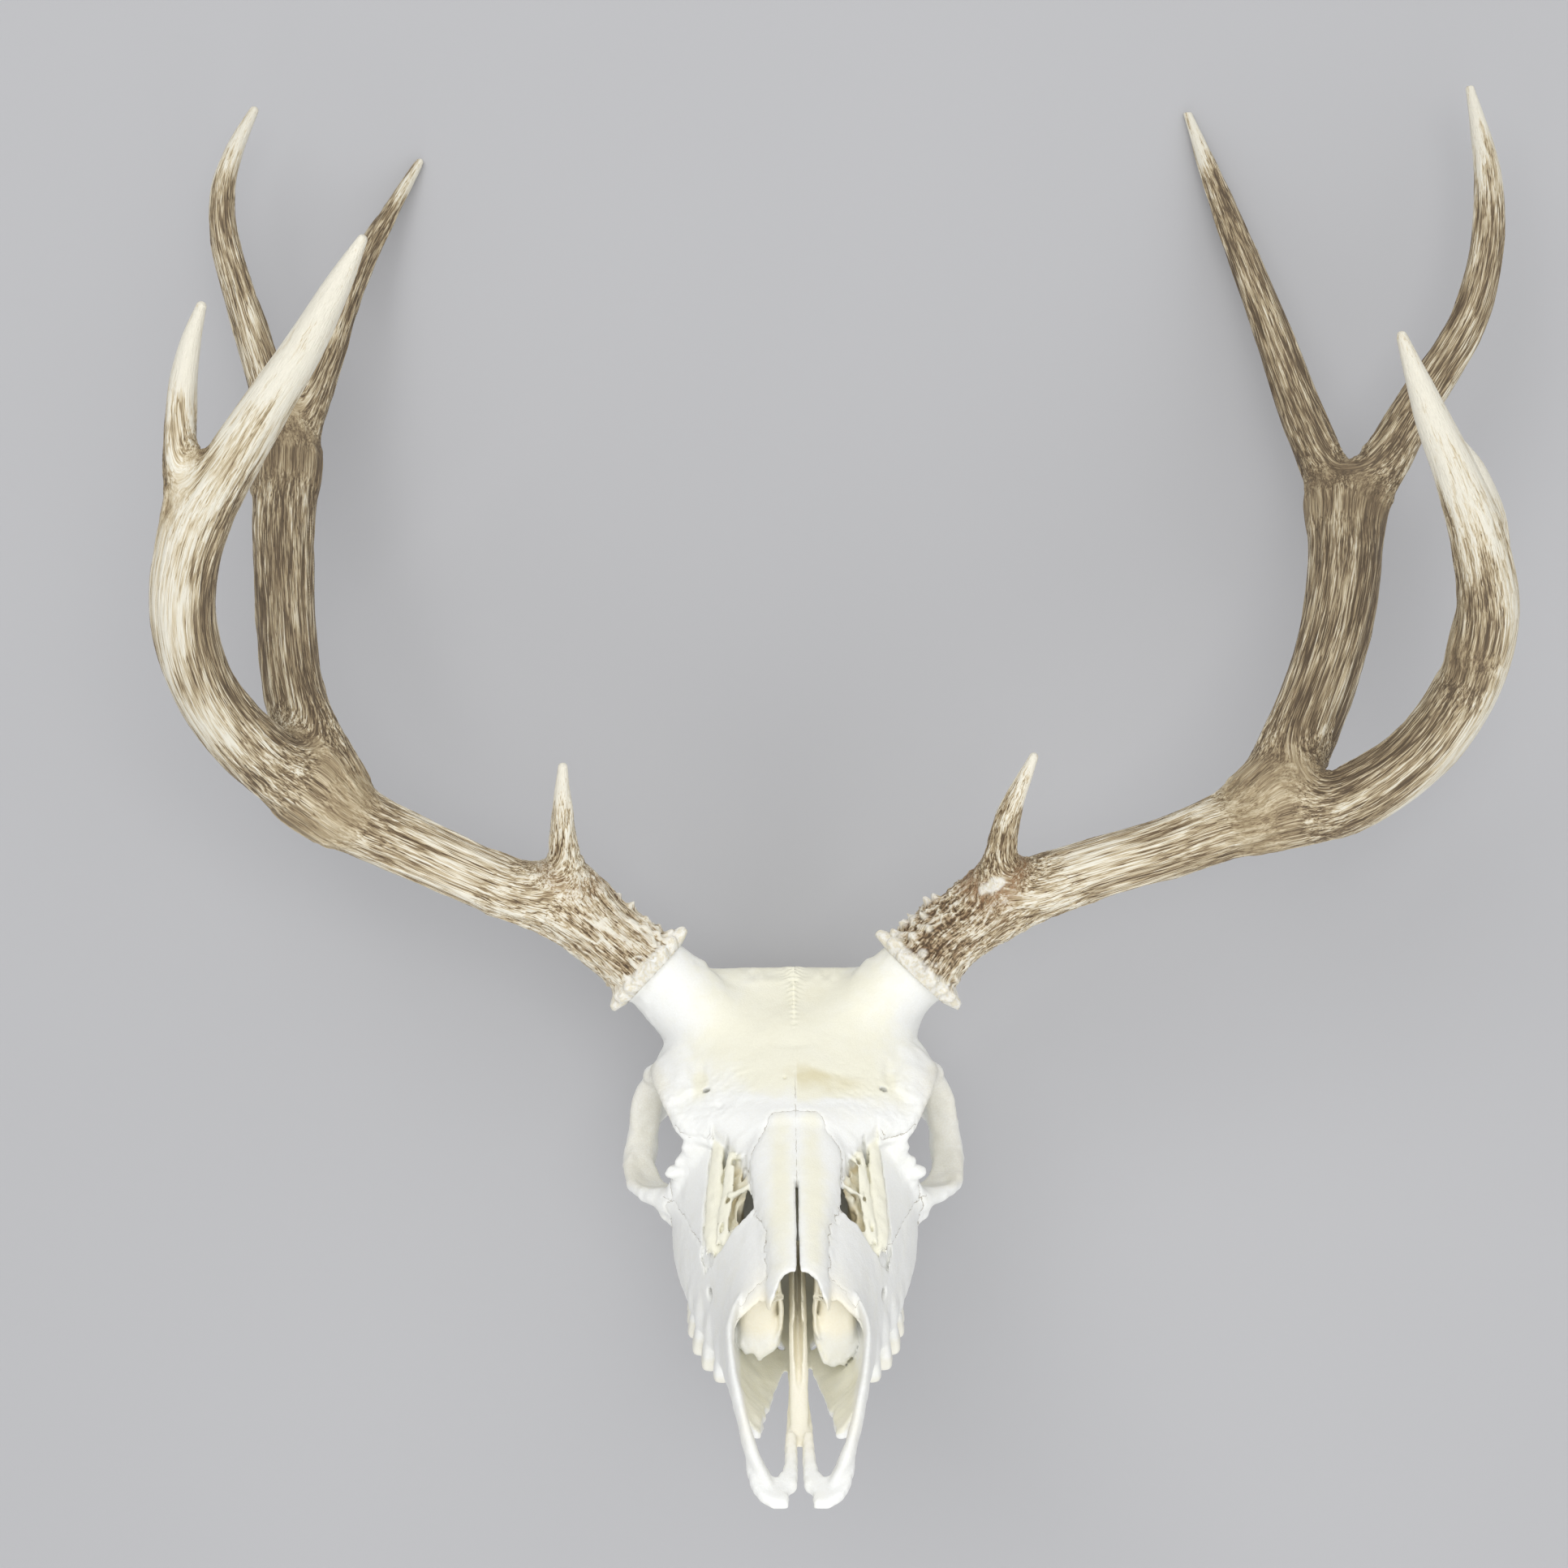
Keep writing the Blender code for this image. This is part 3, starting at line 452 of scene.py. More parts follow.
def surface_net(field):
    """Vertices and quads of the surface where the field is zero."""
    value = field.value
    inside = value < 0
    corners = [(a, b, c) for a in (0, 1) for b in (0, 1) for c in (0, 1)]
    wide, deep, tall = (size - 1 for size in value.shape)
    count = sum(inside[a:wide + a, b:deep + b, c:tall + c].astype(np.uint8) for a, b, c in corners)
    active = (count > 0) & (count < 8)
    index = np.full(active.shape, -1, np.int32)
    place = np.array(np.nonzero(active)).T
    index[active] = np.arange(len(place))
    total = np.zeros((len(place), 3), np.float32)
    weight = np.zeros(len(place), np.float32)
    at = {c: value[place[:, 0] + c[0], place[:, 1] + c[1], place[:, 2] + c[2]] for c in corners}
    for axis in range(3):
        for start in corners:
            if start[axis]:
                continue
            end = tuple(1 if k == axis else start[k] for k in range(3))
            a, b = at[start], at[end]
            crosses = (a < 0) != (b < 0)
            t = np.where(crosses, a / np.where(crosses, a - b, 1), 0)
            for k in range(3):
                total[:, k] += crosses * (t if k == axis else start[k])
            weight += crosses
    low = np.array([axis[0] for axis in field.axes], np.float32)
    verts = low + field.step * (place + total / weight[:, None])
    quads = []
    for axis in range(3):
        ahead = [slice(None)] * 3
        behind = [slice(None)] * 3
        ahead[axis], behind[axis] = slice(1, None), slice(None, -1)
        changes = inside[tuple(ahead)] != inside[tuple(behind)]
        spots = np.array(np.nonzero(changes)).T
        one, two = [k for k in range(3) if k != axis]
        keep = (spots[:, one] > 0) & (spots[:, two] > 0)
        keep &= (spots[:, one] < index.shape[one]) & (spots[:, two] < index.shape[two])
        spots = spots[keep]
        ring = []
        for da, db in ((0, 0), (-1, 0), (-1, -1), (0, -1)):
            cell = spots.copy()
            cell[:, one] += da
            cell[:, two] += db
            ring.append(index[cell[:, 0], cell[:, 1], cell[:, 2]])
        quad = np.array(ring).T
        solid_first = inside[spots[:, 0], spots[:, 1], spots[:, 2]]
        flip = solid_first if axis != 1 else ~solid_first
        quad[flip] = quad[flip][:, ::-1]
        quads.append(quad)
    quads = np.concatenate(quads)
    return verts, quads[(quads >= 0).all(axis=1)][:, ::-1]


# ---------------------------------------------------------------- meshes

def relaxed(verts, quads, rounds, share=0.5):
    """Vertices moved towards the middle of their neighbours."""
    ends = np.concatenate([quads[:, (k, (k + 1) % 4)] for k in range(4)])
    count = np.bincount(ends.ravel(), minlength=len(verts))
    for _ in range(rounds):
        mean = np.empty_like(verts)
        for k in range(3):
            mean[:, k] = (np.bincount(ends[:, 0], verts[ends[:, 1], k], len(verts))
                          + np.bincount(ends[:, 1], verts[ends[:, 0], k], len(verts)))
        mean /= np.maximum(count, 1)[:, None]
        verts = verts + share * (mean - verts)
    return verts.astype(np.float32)


def normals_of(verts, quads):
    one = verts[quads[:, 2]] - verts[quads[:, 0]]
    two = verts[quads[:, 3]] - verts[quads[:, 1]]
    face = np.cross(one, two)
    total = np.stack([
        sum(np.bincount(quads[:, c], face[:, k], len(verts)) for c in range(4))
        for k in range(3)], axis=1)
    return (total / np.maximum(np.linalg.norm(total, axis=1), 1e-9)[:, None]).astype(np.float32)


def without_crumbs(verts, quads, least=2000):
    """The quads that belong to connected surfaces of at least so many quads."""
    label = np.arange(len(verts))
    while True:
        lowest = label[quads].min(axis=1)
        joined = label.copy()
        for corner in range(4):
            np.minimum.at(joined, quads[:, corner], lowest)
        joined = joined[joined]
        if (joined == label).all():
            break
        label = joined
    size = np.bincount(label[quads[:, 0]], minlength=len(verts))
    return quads[size[label[quads[:, 0]]] >= least]


def divided(verts, quads):
    """A closed quad mesh, subdivided smoothly twice by Blender's own modifier."""
    mesh = bpy.data.meshes.new("coarse")
    mesh.from_pydata(verts.tolist(), [], quads.tolist())
    obj = bpy.data.objects.new("coarse", mesh)
    bpy.context.scene.collection.objects.link(obj)
    smooth = obj.modifiers.new("divide", "SUBSURF")
    smooth.levels = smooth.render_levels = 2
    bpy.context.view_layer.update()
    fine = obj.evaluated_get(bpy.context.evaluated_depsgraph_get()).data
    out = np.empty(len(fine.vertices) * 3, np.float32)
    fine.vertices.foreach_get("co", out)
    faces = np.empty(len(fine.loops), np.int32)
    fine.loops.foreach_get("vertex_index", faces)
    bpy.data.objects.remove(obj, do_unlink=True)
    return out.reshape(-1, 3), faces.reshape(-1, 4)


def piece_mesh(name, verts, quads, data, material):
    """A shown object from vertices in metres, quads and per-vertex values."""
    used, quads = np.unique(quads, return_inverse=True)
    quads = quads.reshape(-1, 4).astype(np.int32)
    verts = verts[used]
    mesh = bpy.data.meshes.new(name)
    mesh.vertices.add(len(verts))
    mesh.vertices.foreach_set("co", verts.astype(np.float32).ravel())
    mesh.loops.add(quads.size)
    mesh.loops.foreach_set("vertex_index", quads.ravel())
    mesh.polygons.add(len(quads))
    mesh.polygons.foreach_set("loop_start", np.arange(0, quads.size, 4, dtype=np.int32))
    mesh.update(calc_edges=True)
    mesh.shade_smooth()
    for key, values in data.items():
        values = np.asarray(values, np.float32)[used]
        kind, field = ("FLOAT", "value") if values.ndim == 1 else ("FLOAT_VECTOR", "vector")
        mesh.attributes.new(key, kind, "POINT").data.foreach_set(field, values.ravel())
    mesh.materials.append(material)
    obj = bpy.data.objects.new(name, mesh)
    bpy.context.scene.collection.objects.link(obj)
    return obj


# ---------------------------------------------------------------- the skull's shape

# Bars are rows of (x, y, z, half width, half thickness); plans are outlines in (x, y).
# Both are written for the side where x is positive.

# Foot that carries an antler, with x counted from the burr's centre
PEDICLE = (
    (-28, 190, 70, 16, 17), (-14, 198, 82, 15, 15.5), (-5, 201.5, 90, 13.4, 14),
    (1.0, 203.8, 94.6, 13.9, 14.2), (4.6, 205.3, 97.4, 16.4, 16.2))
PTERYGOID_PLATE = (
    (12, 160, 12, 7, 2.4), (12, 178, 6, 10, 1.6), (12, 196, 4, 8, 1.6), (13, 208, 12, 5, 2.4))
NUCHAL_CREST = (
    (35, 256, 30, 2.5, 3.5), (30, 261, 46, 2.2, 3), (17, 262, 57, 2.2, 3), (0, 262, 59, 2.6, 3.5))
JUGULAR_PROCESS = (
    (29, 256, 18, 8, 6), (28, 263, 6, 6, 4), (26, 268, -5, 4.5, 3), (25, 270, -14, 2.4, 2))


def on_side(s, rows):
    """Rows of numbers with the first one, the place across, put on side s (-1 or 1)."""
    return [(s * row[0], *row[1:]) for row in rows]


def skull_solids(field):
    lofts = (FACE, 0), (BRAINCASE, 8), (SKULL_BASE, 5), (NASALS, 2.5), (FOREHEAD, 5)
    for stations, blend in lofts:
        field.add(loft_shape(stations), blend)
    for side, s in SIDES:
        reach = abs(BURR_CENTRES[side][0])
        pedicle = [(reach + row[0], *row[1:]) for row in PEDICLE]
        field.add(sweep_shape(on_side(s, pedicle), (0, 0, 1)), 5)
        # side of the occiput, hearing bulb and root of the cheek arch
        field.add(ball_shape((s * 33, 254, 24), (8, 14, 16)), 5)
        field.add(ball_shape((s * 20, 236, 4), (8, 12, 9)), 3)
        field.add(ball_shape((s * 38, 228, 25), (11, 9, 6)), 4)
        field.add(sweep_shape(on_side(s, PTERYGOID_PLATE), (1, 0, 0)), 3)
        field.add(sweep_shape(on_side(s, NUCHAL_CREST), (0, 1, 0)), 4)


def back_of_head(field):
    """The condyles and the jugular processes, on which the skull lies."""
    for _, s in SIDES:
        field.add(ball_shape((s * 11, 273.5, 9.5), (8.5, 6, 9)), 2.5)
        field.add(sweep_shape(on_side(s, JUGULAR_PROCESS), (0, 1, 0)), 3)


def nasal_passage():
    """The nasal cavity, open above at the snout and with a thin wall further back."""
    wall = 1.5
    low, high, tunnel = sweep_shape((
        (0, 24, 22, 19.6, 16), (0, 52, 24, 20.4, 20), (0, 72, 26, 22.0, 26), (0, 86, 30, 20, 26),
        (0, 118, 38, 19, 24), (0, 146, 44, 16, 18)), (0, 0, 1))
    face, nose = loft_shape(FACE)[2], loft_shape(NASALS)[2]

    def skin(x, y, z):
        return smooth_min(face(x, y, z), np.maximum(nose(x, y, z), face(x, y, z) - 12), 2.0)

    def distance(x, y, z):
        back = smoothstep(66.5, 69.5, y)
        near = smooth_max(tunnel(x, y, z), skin(x, y, z) + wall - 40 * (1 - back), 1.5)
        roof = np.interp(y, (56, 70, 86, 118, 146), (43.4, 48.8, 52, 58, 62)).astype(np.float32)
        return smooth_max(near, z - roof, 1.0)

    return low, high, distance


# The lacrimal opening is the gap between the nasal, lacrimal and frontal bones.
# These are the plans of all of it and of its deep part.
OPENING = (
    (15.2, 106.5), (17.5, 106), (20.5, 106.5), (24.5, 105.5), (28, 106.5), (31, 109), (32.6, 115),
    (32.2, 122), (31, 131), (30, 139), (28.8, 143.5), (23.2, 137.5), (19, 130.5), (16.6, 124),
    (15.6, 116))
DEEP_OPENING = (
    (15.2, 107.0), (17.5, 106.2), (20.5, 106.8), (23.5, 110), (24.2, 118), (23.6, 127), (23.2, 136),
    (19, 130.5), (16.6, 124), (15.6, 116))
# Gaps between the bone cells inside it: (centre, radii, turn in degrees)
CELL_GAPS = (
    ((17.6, 113.8, 44), (2.8, 3.6, 12), 20), ((19.4, 121.2, 48), (1.1, 1.5, 12), 0),
    ((17.8, 127.4, 52), (0.8, 2.4, 10), -12), ((24.4, 136.5, 54), (0.9, 4.2, 9), -14))
# Tongue of the lacrimal bone, the flat band beside it and the struts of the cells
OPENING_BARS = (
    ((27.4, 143, 56.2, 2.2, 1.0), (27.5, 136, 53.4, 2.6, 1.1), (27.9, 128, 48.0, 3.4, 1.2),
     (28.3, 120, 42.2, 3.8, 1.2), (29.2, 112, 35.2, 3.0, 1.1), (29.8, 107, 30.0, 1.3, 1.0)),
    ((22.2, 133, 57.0, 1.5, 0.8), (23.0, 127, 53.0, 2.2, 0.8), (23.6, 121, 48.9, 2.6, 0.8),
     (24.8, 114, 42.8, 2.6, 0.8), (26.4, 108, 36.6, 1.8, 0.8)),
    ((15.8, 118.0, 54.0, 0.9, 0.7), (18.6, 117.2, 51.6, 0.8, 0.6), (22.8, 118.6, 49, 1.1, 0.8)),
    ((18.4, 130.6, 58.0, 1.0, 0.8), (20.6, 130.2, 56, 1.0, 0.7), (22.8, 131.4, 54.6, 1.2, 0.8)))
# Small holes through the band: (centre, radii)
BAND_HOLES = (
    ((23.2, 118.5, 46), (0.9, 1.3, 3)), ((25.6, 111.4, 41), (0.6, 1.6, 3)),
    ((25.2, 128.0, 51), (0.5, 3.6, 3)), ((21.6, 130.0, 56), (0.7, 1.6, 3)),
    ((26.4, 107.5, 36), (0.7, 1.2, 3)))


def lacrimal_opening(field, s):
    """A shallow strip outside, deep broken cells inside."""
    skin = loft_shape(FACE)[2]

    def recess(plan, depth):
        outline = on_side(s, plan)

        def distance(x, y, z):
            return smooth_max(polygon_distance(x, y, outline), -(skin(x, y, z) + depth), 0.8)

        return (s * 24 - 9, 105, 26), (s * 24 + 9, 144, 74), distance

    field.cut(rough(recess(OPENING, 1.5), 0.3, 3.0, 21), 1.0)
    field.cut(rough(recess(DEEP_OPENING, 4.0), 0.9, 2.0, 22), 0.8)
    for k, (centre, radii, turn) in enumerate(CELL_GAPS):
        gap = ball_shape((s * centre[0], *centre[1:]), radii, (0, 0, -s * turn))
        field.cut(rough(gap, 0.6, 1.7, 140 + k), 0.5)
    for k, path in enumerate(OPENING_BARS):
        bar = sweep_shape(on_side(s, path), (s * 0.55, -0.3, 0.8))
        field.add(rough(bar, 0.35 if k < 2 else 0.8, 2.0, 150 + k), 1.2)
    for k, (centre, radii) in enumerate(BAND_HOLES):
        hole = ball_shape((s * centre[0], *centre[1:]), radii, (0, 0, s * 12))
        field.cut(rough(hole, 0.4, 1.2, 160 + k), 0.4)
    # pit at the tongue's tip
    field.cut(ball_shape((s * 29.6, 107.4, 31.0), (1.1, 2.4, 3.0), (-30, 0, 0)), 0.6)


# Plans of the palatal fissure, and of what is missing in front of the nasals
FISSURE = (
    (1.4, 87), (3.6, 84.5), (6.2, 78.5), (9, 67), (10.8, 57.5), (11.6, 49), (12.0, 43),
    (13.2, 40.8), (15, 41.6), (17, 44.5), (24, 45), (24, 5), (1.4, 5))
NASAL_FRONT = (
    (-3, 71), (2.6, 70.8), (5.0, 70.2), (6.2, 67.4), (7.0, 63.4), (8.2, 60.6), (9.4, 61.6),
    (10.4, 65), (11.4, 69), (12.4, 70), (20, 69), (30, 67), (30, 20), (-3, 20))
# Bars that are cut out: the groove below a foramen of the brow, and the canal of the cheek
BROW_GROOVE = ((32.4, 154.5, 73, 1.7, 1.1), (30, 160, 63, 1.4, 1.1))
CHEEK_CANAL = ((33, 97, 22, 2.4, 1.8), (24, 107, 20, 2.2, 1.6))


def nasal_slit():
    """The slit between the nasals, wider towards the front."""
    def distance(x, y, z):
        return np.abs(x) - np.clip(0.62 - (y - 72) / 70, 0.41, 0.62) + 0 * z

    return (-1, 68, 41), (1, 108, 70), distance


def skull_hollows(field):
    field.cut(rough(nasal_passage(), 0.4, 5, 3), 0.8)
    # vault of the palate, the opening behind it and the hole for the spinal cord
    field.cut(ball_shape((0, 118, -6), (19, 48, 11)), 3)
    field.cut(ball_shape((0, 176, 12), (9, 17, 11)), 2)
    field.cut(ball_shape((0, 276, 22), (10, 12, 8.5)), 1.5)
    for _, s in SIDES:
        field.cut(rough(prism_shape(on_side(s, FISSURE), -14, 14), 0.7, 3.5, 11), 1.2)
        field.cut(rough(prism_shape(on_side(s, NASAL_FRONT), 35, 60), 0.3, 2.0, 12), 0.4)
    field.cut(nasal_slit(), 0.2)
    radius = ORBIT_DIAMETER / 2
    for _, s in SIDES:
        # hollow at the temple, then the orbit
        field.cut(ball_shape((s * 50, 207, 44), (17, 13, 24), (0, 0, s * 10)), 3)
        field.cut(ball_shape((s * 50, 171, 46), (26, radius, radius - 0.5), (0, 0, s * 14)), 1.6)
        lacrimal_opening(field, s)
        # hollow of the lacrimal plate in front of the orbit
        field.cut(ball_shape((s * 42.0, 127, 46), (4.2, 9, 11), (24, -s * 24, s * 16)), 7)
        # foramina of the forehead, each at the lower end of a groove
        field.cut(ball_shape((s * 34.2, 163, 73.6), (2.9, 7.5, 3.0), (24, s * 24, s * 6)), 1.2)
        field.cut(sweep_shape(on_side(s, BROW_GROOVE), (0, 1, 0)), 0.5)
        # slits where the palate meets the septum
        slit = ball_shape((s * 6.2, 94, 4), (1.3, 2.8, 7), (0, 0, -s * 30))
        field.cut(rough(slit, 0.7, 1.6, 190), 0.4)
        # openings of the palate and the cheek
        field.cut(ball_shape((s * 15, 128, 4), (1.8, 3.2, 6)), 1)
        field.cut(sweep_shape(on_side(s, CHEEK_CANAL), (0, 0, 1)), 1.2)
        # mouth of the ear, and the hollow beside the condyle
        field.cut(ball_shape((s * 38, 243, 17), (7, 3.4, 3.4)), 1)
        field.cut(ball_shape((s * 20, 262, 3), (4, 3, 6)), 1)
    # a pit on the left of the brow, and a pinhole near the middle
    field.cut(ball_shape((-27, 148, 68.6), (2.0, 2.2, 2.2)), 0.8)
    field.cut(ball_shape((-3.6, 154, 75.4), (0.6, 0.6, 2.0)), 0.3)


CHEEK_ARCH = (
    (34, 146, 28, 7, 6), (46.5, 157, 26, 6.4, 4.4), (53.5, 166, 24.5, 6.6, 4.2),
    (56.8, 177, 25, 6, 4), (57, 188, 27, 5, 3.8), (54, 203, 30, 4, 3.2), (47, 218, 30, 4, 4),
    (38, 229, 29, 5, 6))
POSTORBITAL_BAR = (
    (56.5, 186, 24, 5.2, 5), (56, 191, 33, 5.8, 4.6), (54, 194, 44, 5.8, 3.8),
    (48.6, 194, 55, 5.4, 3.6), (42, 189, 66, 6, 4))
ORBIT_RIM = (
    (45, 153, 20, 3.4, 2.6), (43.0, 150.5, 31, 3.2, 2.4), (40.0, 148.0, 42, 3.0, 2.4),
    (35.8, 146.5, 52, 3.4, 2.6), (38.5, 149.5, 58.0, 3.0, 2.4), (44.0, 157, 62.5, 2.4, 2.4),
    (48.2, 167, 65.5, 2.4, 2.4), (49, 177, 65, 2.6, 2.6), (50, 186, 60, 2.8, 2.8),
    (51, 191, 55, 2.8, 2.8))
ORBIT_ROOF = (
    (40.5, 158, 66.0, 5.5, 1.6), (43.6, 168, 69.0, 6.5, 2.2), (45.2, 178, 69.6, 6.6, 2.6),
    (46, 187, 64, 6.5, 3.2))
# Knobs on the lacrimal edge of the orbit: (x, y, z, radius)
RIM_KNOBS = (
    (38.4, 146.0, 52, 1.3), (40.8, 146.6, 46.0, 1.5), (43.2, 147.0, 41, 2.2), (41.6, 148, 36, 1.3))


def zygomatic_bars(field):
    def bars(s):
        return (
            sweep_shape(on_side(s, CHEEK_ARCH), (0, 0, 1)),
            sweep_shape(on_side(s, POSTORBITAL_BAR), (s * 0.25, 1, 0)),
            sweep_shape(on_side(s, ORBIT_RIM), (0.3, 1, 0.2)),
            sweep_shape(on_side(s, ORBIT_ROOF), (s * 0.55, -0.2, 0.85)),
        )
    for k, shape in enumerate(mirrored(bars)):
        field.add(rough(shape, 0.35, 4.5, 30 + k), 3.5)
    radius = ORBIT_DIAMETER / 2
    for _, s in SIDES:
        # the orbit again, inside its rims
        inside = (24, radius - 2.2, radius - 2.4)
        field.cut(ball_shape((s * 50, 169.5, 45), inside, (0, 0, s * 14)), 1.2)
        # knob behind the brow
        field.add(ball_shape((s * 53, 192, 56.5), (2.4, 2.2, 2.6)), 2.5)
        for k, (x, y, z, r) in enumerate(RIM_KNOBS):
            knob = ball_shape((s * x, y, z), (r * 1.4, r * 1.2, r * 1.1))
            field.add(rough(knob, 0.6, 2.2, 170 + k), 1.6)


# Plans of the snout's toes and of the prongs at the front of the nasals
TOE_PLAN = (
    (1.4, 14), (2.6, 12.4), (4.0, 9.6), (3.4, 5.6), (4.4, 4.8), (8.6, 4.6), (13.0, 6.8), (15.6, 12),
    (17.0, 18), (16.0, 24), (13.6, 26), (11.8, 22), (10.4, 18), (8.8, 15.8), (7.2, 15.8),
    (5.6, 18.6), (4.7, 24), (4.3, 36), (1.2, 36), (1.1, 20))
PRONG = (
    (4.4, 75), (5.0, 70.4), (6.0, 69.2), (6.8, 67), (7.8, 64.8), (9.2, 64.6), (10.6, 67),
    (11.4, 70), (11.6, 75))
PREMAXILLA_RAIL = (
    (10.4, 12, 11.4, 3.0, 2.0), (13.2, 17, 13.4, 4.4, 2.3), (16.6, 26, 19, 5.0, 2.0),
    (20.6, 42, 27, 5.4, 1.7), (22.4, 58, 32.4, 5.0, 1.5), (21.2, 68, 35, 3.2, 1.2),
    (19.0, 76, 36.6, 1.6, 0.8))
PREMAXILLA_SPINE = (
    (3.4, 14, 9.2, 2.0, 1.8), (2.8, 24, 9.6, 1.7, 1.8), (2.8, 34, 9.6, 1.6, 1.8),
    (2.6, 46, 8.4, 1.5, 1.6), (2.2, 60, 6.0, 1.3, 1.3), (2.0, 76, 3.2, 1.2, 1.2),
    (2.2, 90, 2.4, 2.0, 1.6))
VOMER = (
    (0, 35.5, 9.4, 2.4, 1.3), (0, 40, 10.8, 2.9, 1.5), (0, 52, 15.2, 3.0, 2.4),
    (0, 66, 21.6, 3.0, 4.4), (0, 82, 28, 2.9, 6.5), (0, 104, 34, 2.8, 8))
VOMER_GUTTER = (
    (0, 50, 17.8, 0.5, 0.8), (0, 58, 21.8, 1.2, 3.2), (0, 66, 26.2, 1.5, 6.2),
    (0, 82, 34, 1.1, 9.4), (0, 101, 42, 1.0, 12))
# Height at which each side's scroll bone is broken off: (distance from the middle, height)
SCROLL_EDGES = {
    "left": (
        (5, 18), (7, 17), (8.5, 15.2), (10, 14.4), (12, 12.8), (14, 13.4), (15.4, 15.4), (17, 15),
        (20, 17)),
    "right": (
        (5, 19), (6.5, 14.5), (8, 10.5), (10, 8.8), (12.4, 8.0), (14, 9.4), (15.5, 9.2),
        (17.5, 12.5), (20, 16)),
}
SCROLL_FLANGE = (
    (6.8, 78.0, 43, 0.9, 1.8), (5.7, 76.6, 34, 0.8, 2.6), (5.7, 76.0, 27, 0.8, 2.6),
    (7.0, 76.0, 21.5, 1.0, 2.2))


def toes(x, y, z):
    side = np.abs(x)
    flat = polygon_distance(side, y, TOE_PLAN) + 0.35 * noise(side / 1.6, y / 1.6, 0 * z, 47)
    level = 8.0 + 0.12 * y + 0.24 * np.maximum(side - 5, 0)
    return smooth_max(flat + 0 * z, np.abs(z - level) - 2.0, 1.8)


def snout(field):
    def bars(s):
        return (
            sweep_shape(on_side(s, PREMAXILLA_RAIL), (1, 0, 0)),
            sweep_shape(on_side(s, PREMAXILLA_SPINE), (0, 0, 1)),
        )

    field.add(((-19, 2, 3), (19, 38, 20), toes), 1.2)
    for k, shape in enumerate(mirrored(bars)):
        field.add(rough(shape, 0.18, 4, 50 + k), 1.4)
    nose = loft_shape(NASALS)[2]

    def prongs(x, y, z):
        plan = polygon_distance(np.abs(x), y, PRONG) + 0.2 * noise(x / 1.2, y / 1.2, 0 * z, 48)
        sheet = smooth_max(np.abs(nose(x, y, z) + 0.8) - 0.8, plan + 0 * z, 0.5)
        return smooth_max(sheet, 38 - z, 0.5)

    field.add(((-12, 59, 38), (12, 76, 53), prongs), 0.6)
    # the vomer is a gutter that held the nasal cartilage
    field.add(sweep_shape(VOMER, (0, 0, 1)), 0.8)
    field.cut(rough(sweep_shape(VOMER_GUTTER, (0, 0, 1)), 0.25, 3, 66), 0.5)
    for side, s in SIDES:
        scroll_bone(field, side, s)


def scroll_bone(field, side, s):
    """The thin bone in the nose, broken off at its lower end, with a flange on the inner side."""
    skin = loft_shape(FACE)[2]
    body = ball_shape((s * 12.8, 91, 27.5), (7.2, 16.5, 19.5), (0, 0, 0), 5.0)[2]
    edge = np.array(SCROLL_EDGES[side])

    def scroll(x, y, z):
        broken = np.interp(np.abs(x), edge[:, 0], edge[:, 1]).astype(np.float32)
        broken = broken + 1.3 * noise(x / 1.1, y / 4, 0 * z, 63)
        bulge = 1.6 * np.exp(-((z - 33) / 7) ** 2) - 1.4 * np.exp(-((z - broken - 2.5) / 2.2) ** 2)
        shape = smooth_max(body(x, y, z) + bulge * (y < 84), broken - z, 0.5)
        return smooth_max(shape, skin(x, y, z) + 1.0, 0.6)

    field.add(rough(((s * 12.8 - 8.5, 73, 5), (s * 12.8 + 8.5, 110, 48), scroll), 0.3, 3, 61), 1.0)
    field.add(rough(sweep_shape(on_side(s, SCROLL_FLANGE), (0, 1, 0)), 0.35, 2.2, 64), 1.4)


def cheek_teeth(field):
    """Six crowns a side, each of one or two crescent lobes with a valley between them."""
    for _, s in SIDES:
        y = TOOTH_ROW_START
        for k, share in enumerate(TOOTH_SHARES):
            length = TOOTH_ROW_LENGTH * share
            middle = y + length / 2
            premolar = k < 3
            lobes = (middle,) if premolar else (middle - length * 0.25, middle + length * 0.25)
            half = length / (2 if premolar else 4)
            foot = float(np.interp(middle, (86, 94, 102, 114), (-3.2, -4.4, -6.8, -7.6)))
            for lobe in lobes:
                x = s * tooth_line(lobe)
                # outer wall, inner wall and root: (centre, radii, lean, power, rounding)
                walls = (
                    ((x + s * 1.4, lobe, foot + 4.6), (3.0, half * 0.99, 4.9), -s * 9, 3.4, 0.5),
                    ((x - s * 2.4, lobe, foot + 5.4), (3.6, half * 0.94, 5.2), s * 6, 2.0, 0.8),
                    ((x + s * 0.8, lobe - 0.5, 8), (2.2, half * 0.6, 7), -s * 5, 2.0, 4.0))
                for centre, radii, lean, power, blend in walls:
                    field.add(ball_shape(centre, radii, (0, lean, 0), power), blend)
            valley = (s * tooth_line(middle), middle, foot - 1.4)
            field.cut(ball_shape(valley, (1.1, length * 0.40, 3.2)), 0.8)
            y += length


def tooth_line(y):
    """How far from the middle the tooth row lies."""
    along = (y - TOOTH_ROW_START) / TOOTH_ROW_LENGTH
    return 21.5 + 12.3 * math.sin(math.pi / 2 * min(1.0, 1.8 * along))


def whole_skull(step):
    field = Field((-78, 2, -20), (74, 284, 113), step)
    for part in (skull_solids, skull_hollows, zygomatic_bars, snout, back_of_head, cheek_teeth):
        part(field)
    return field


# ---------------------------------------------------------------- bones and their seams

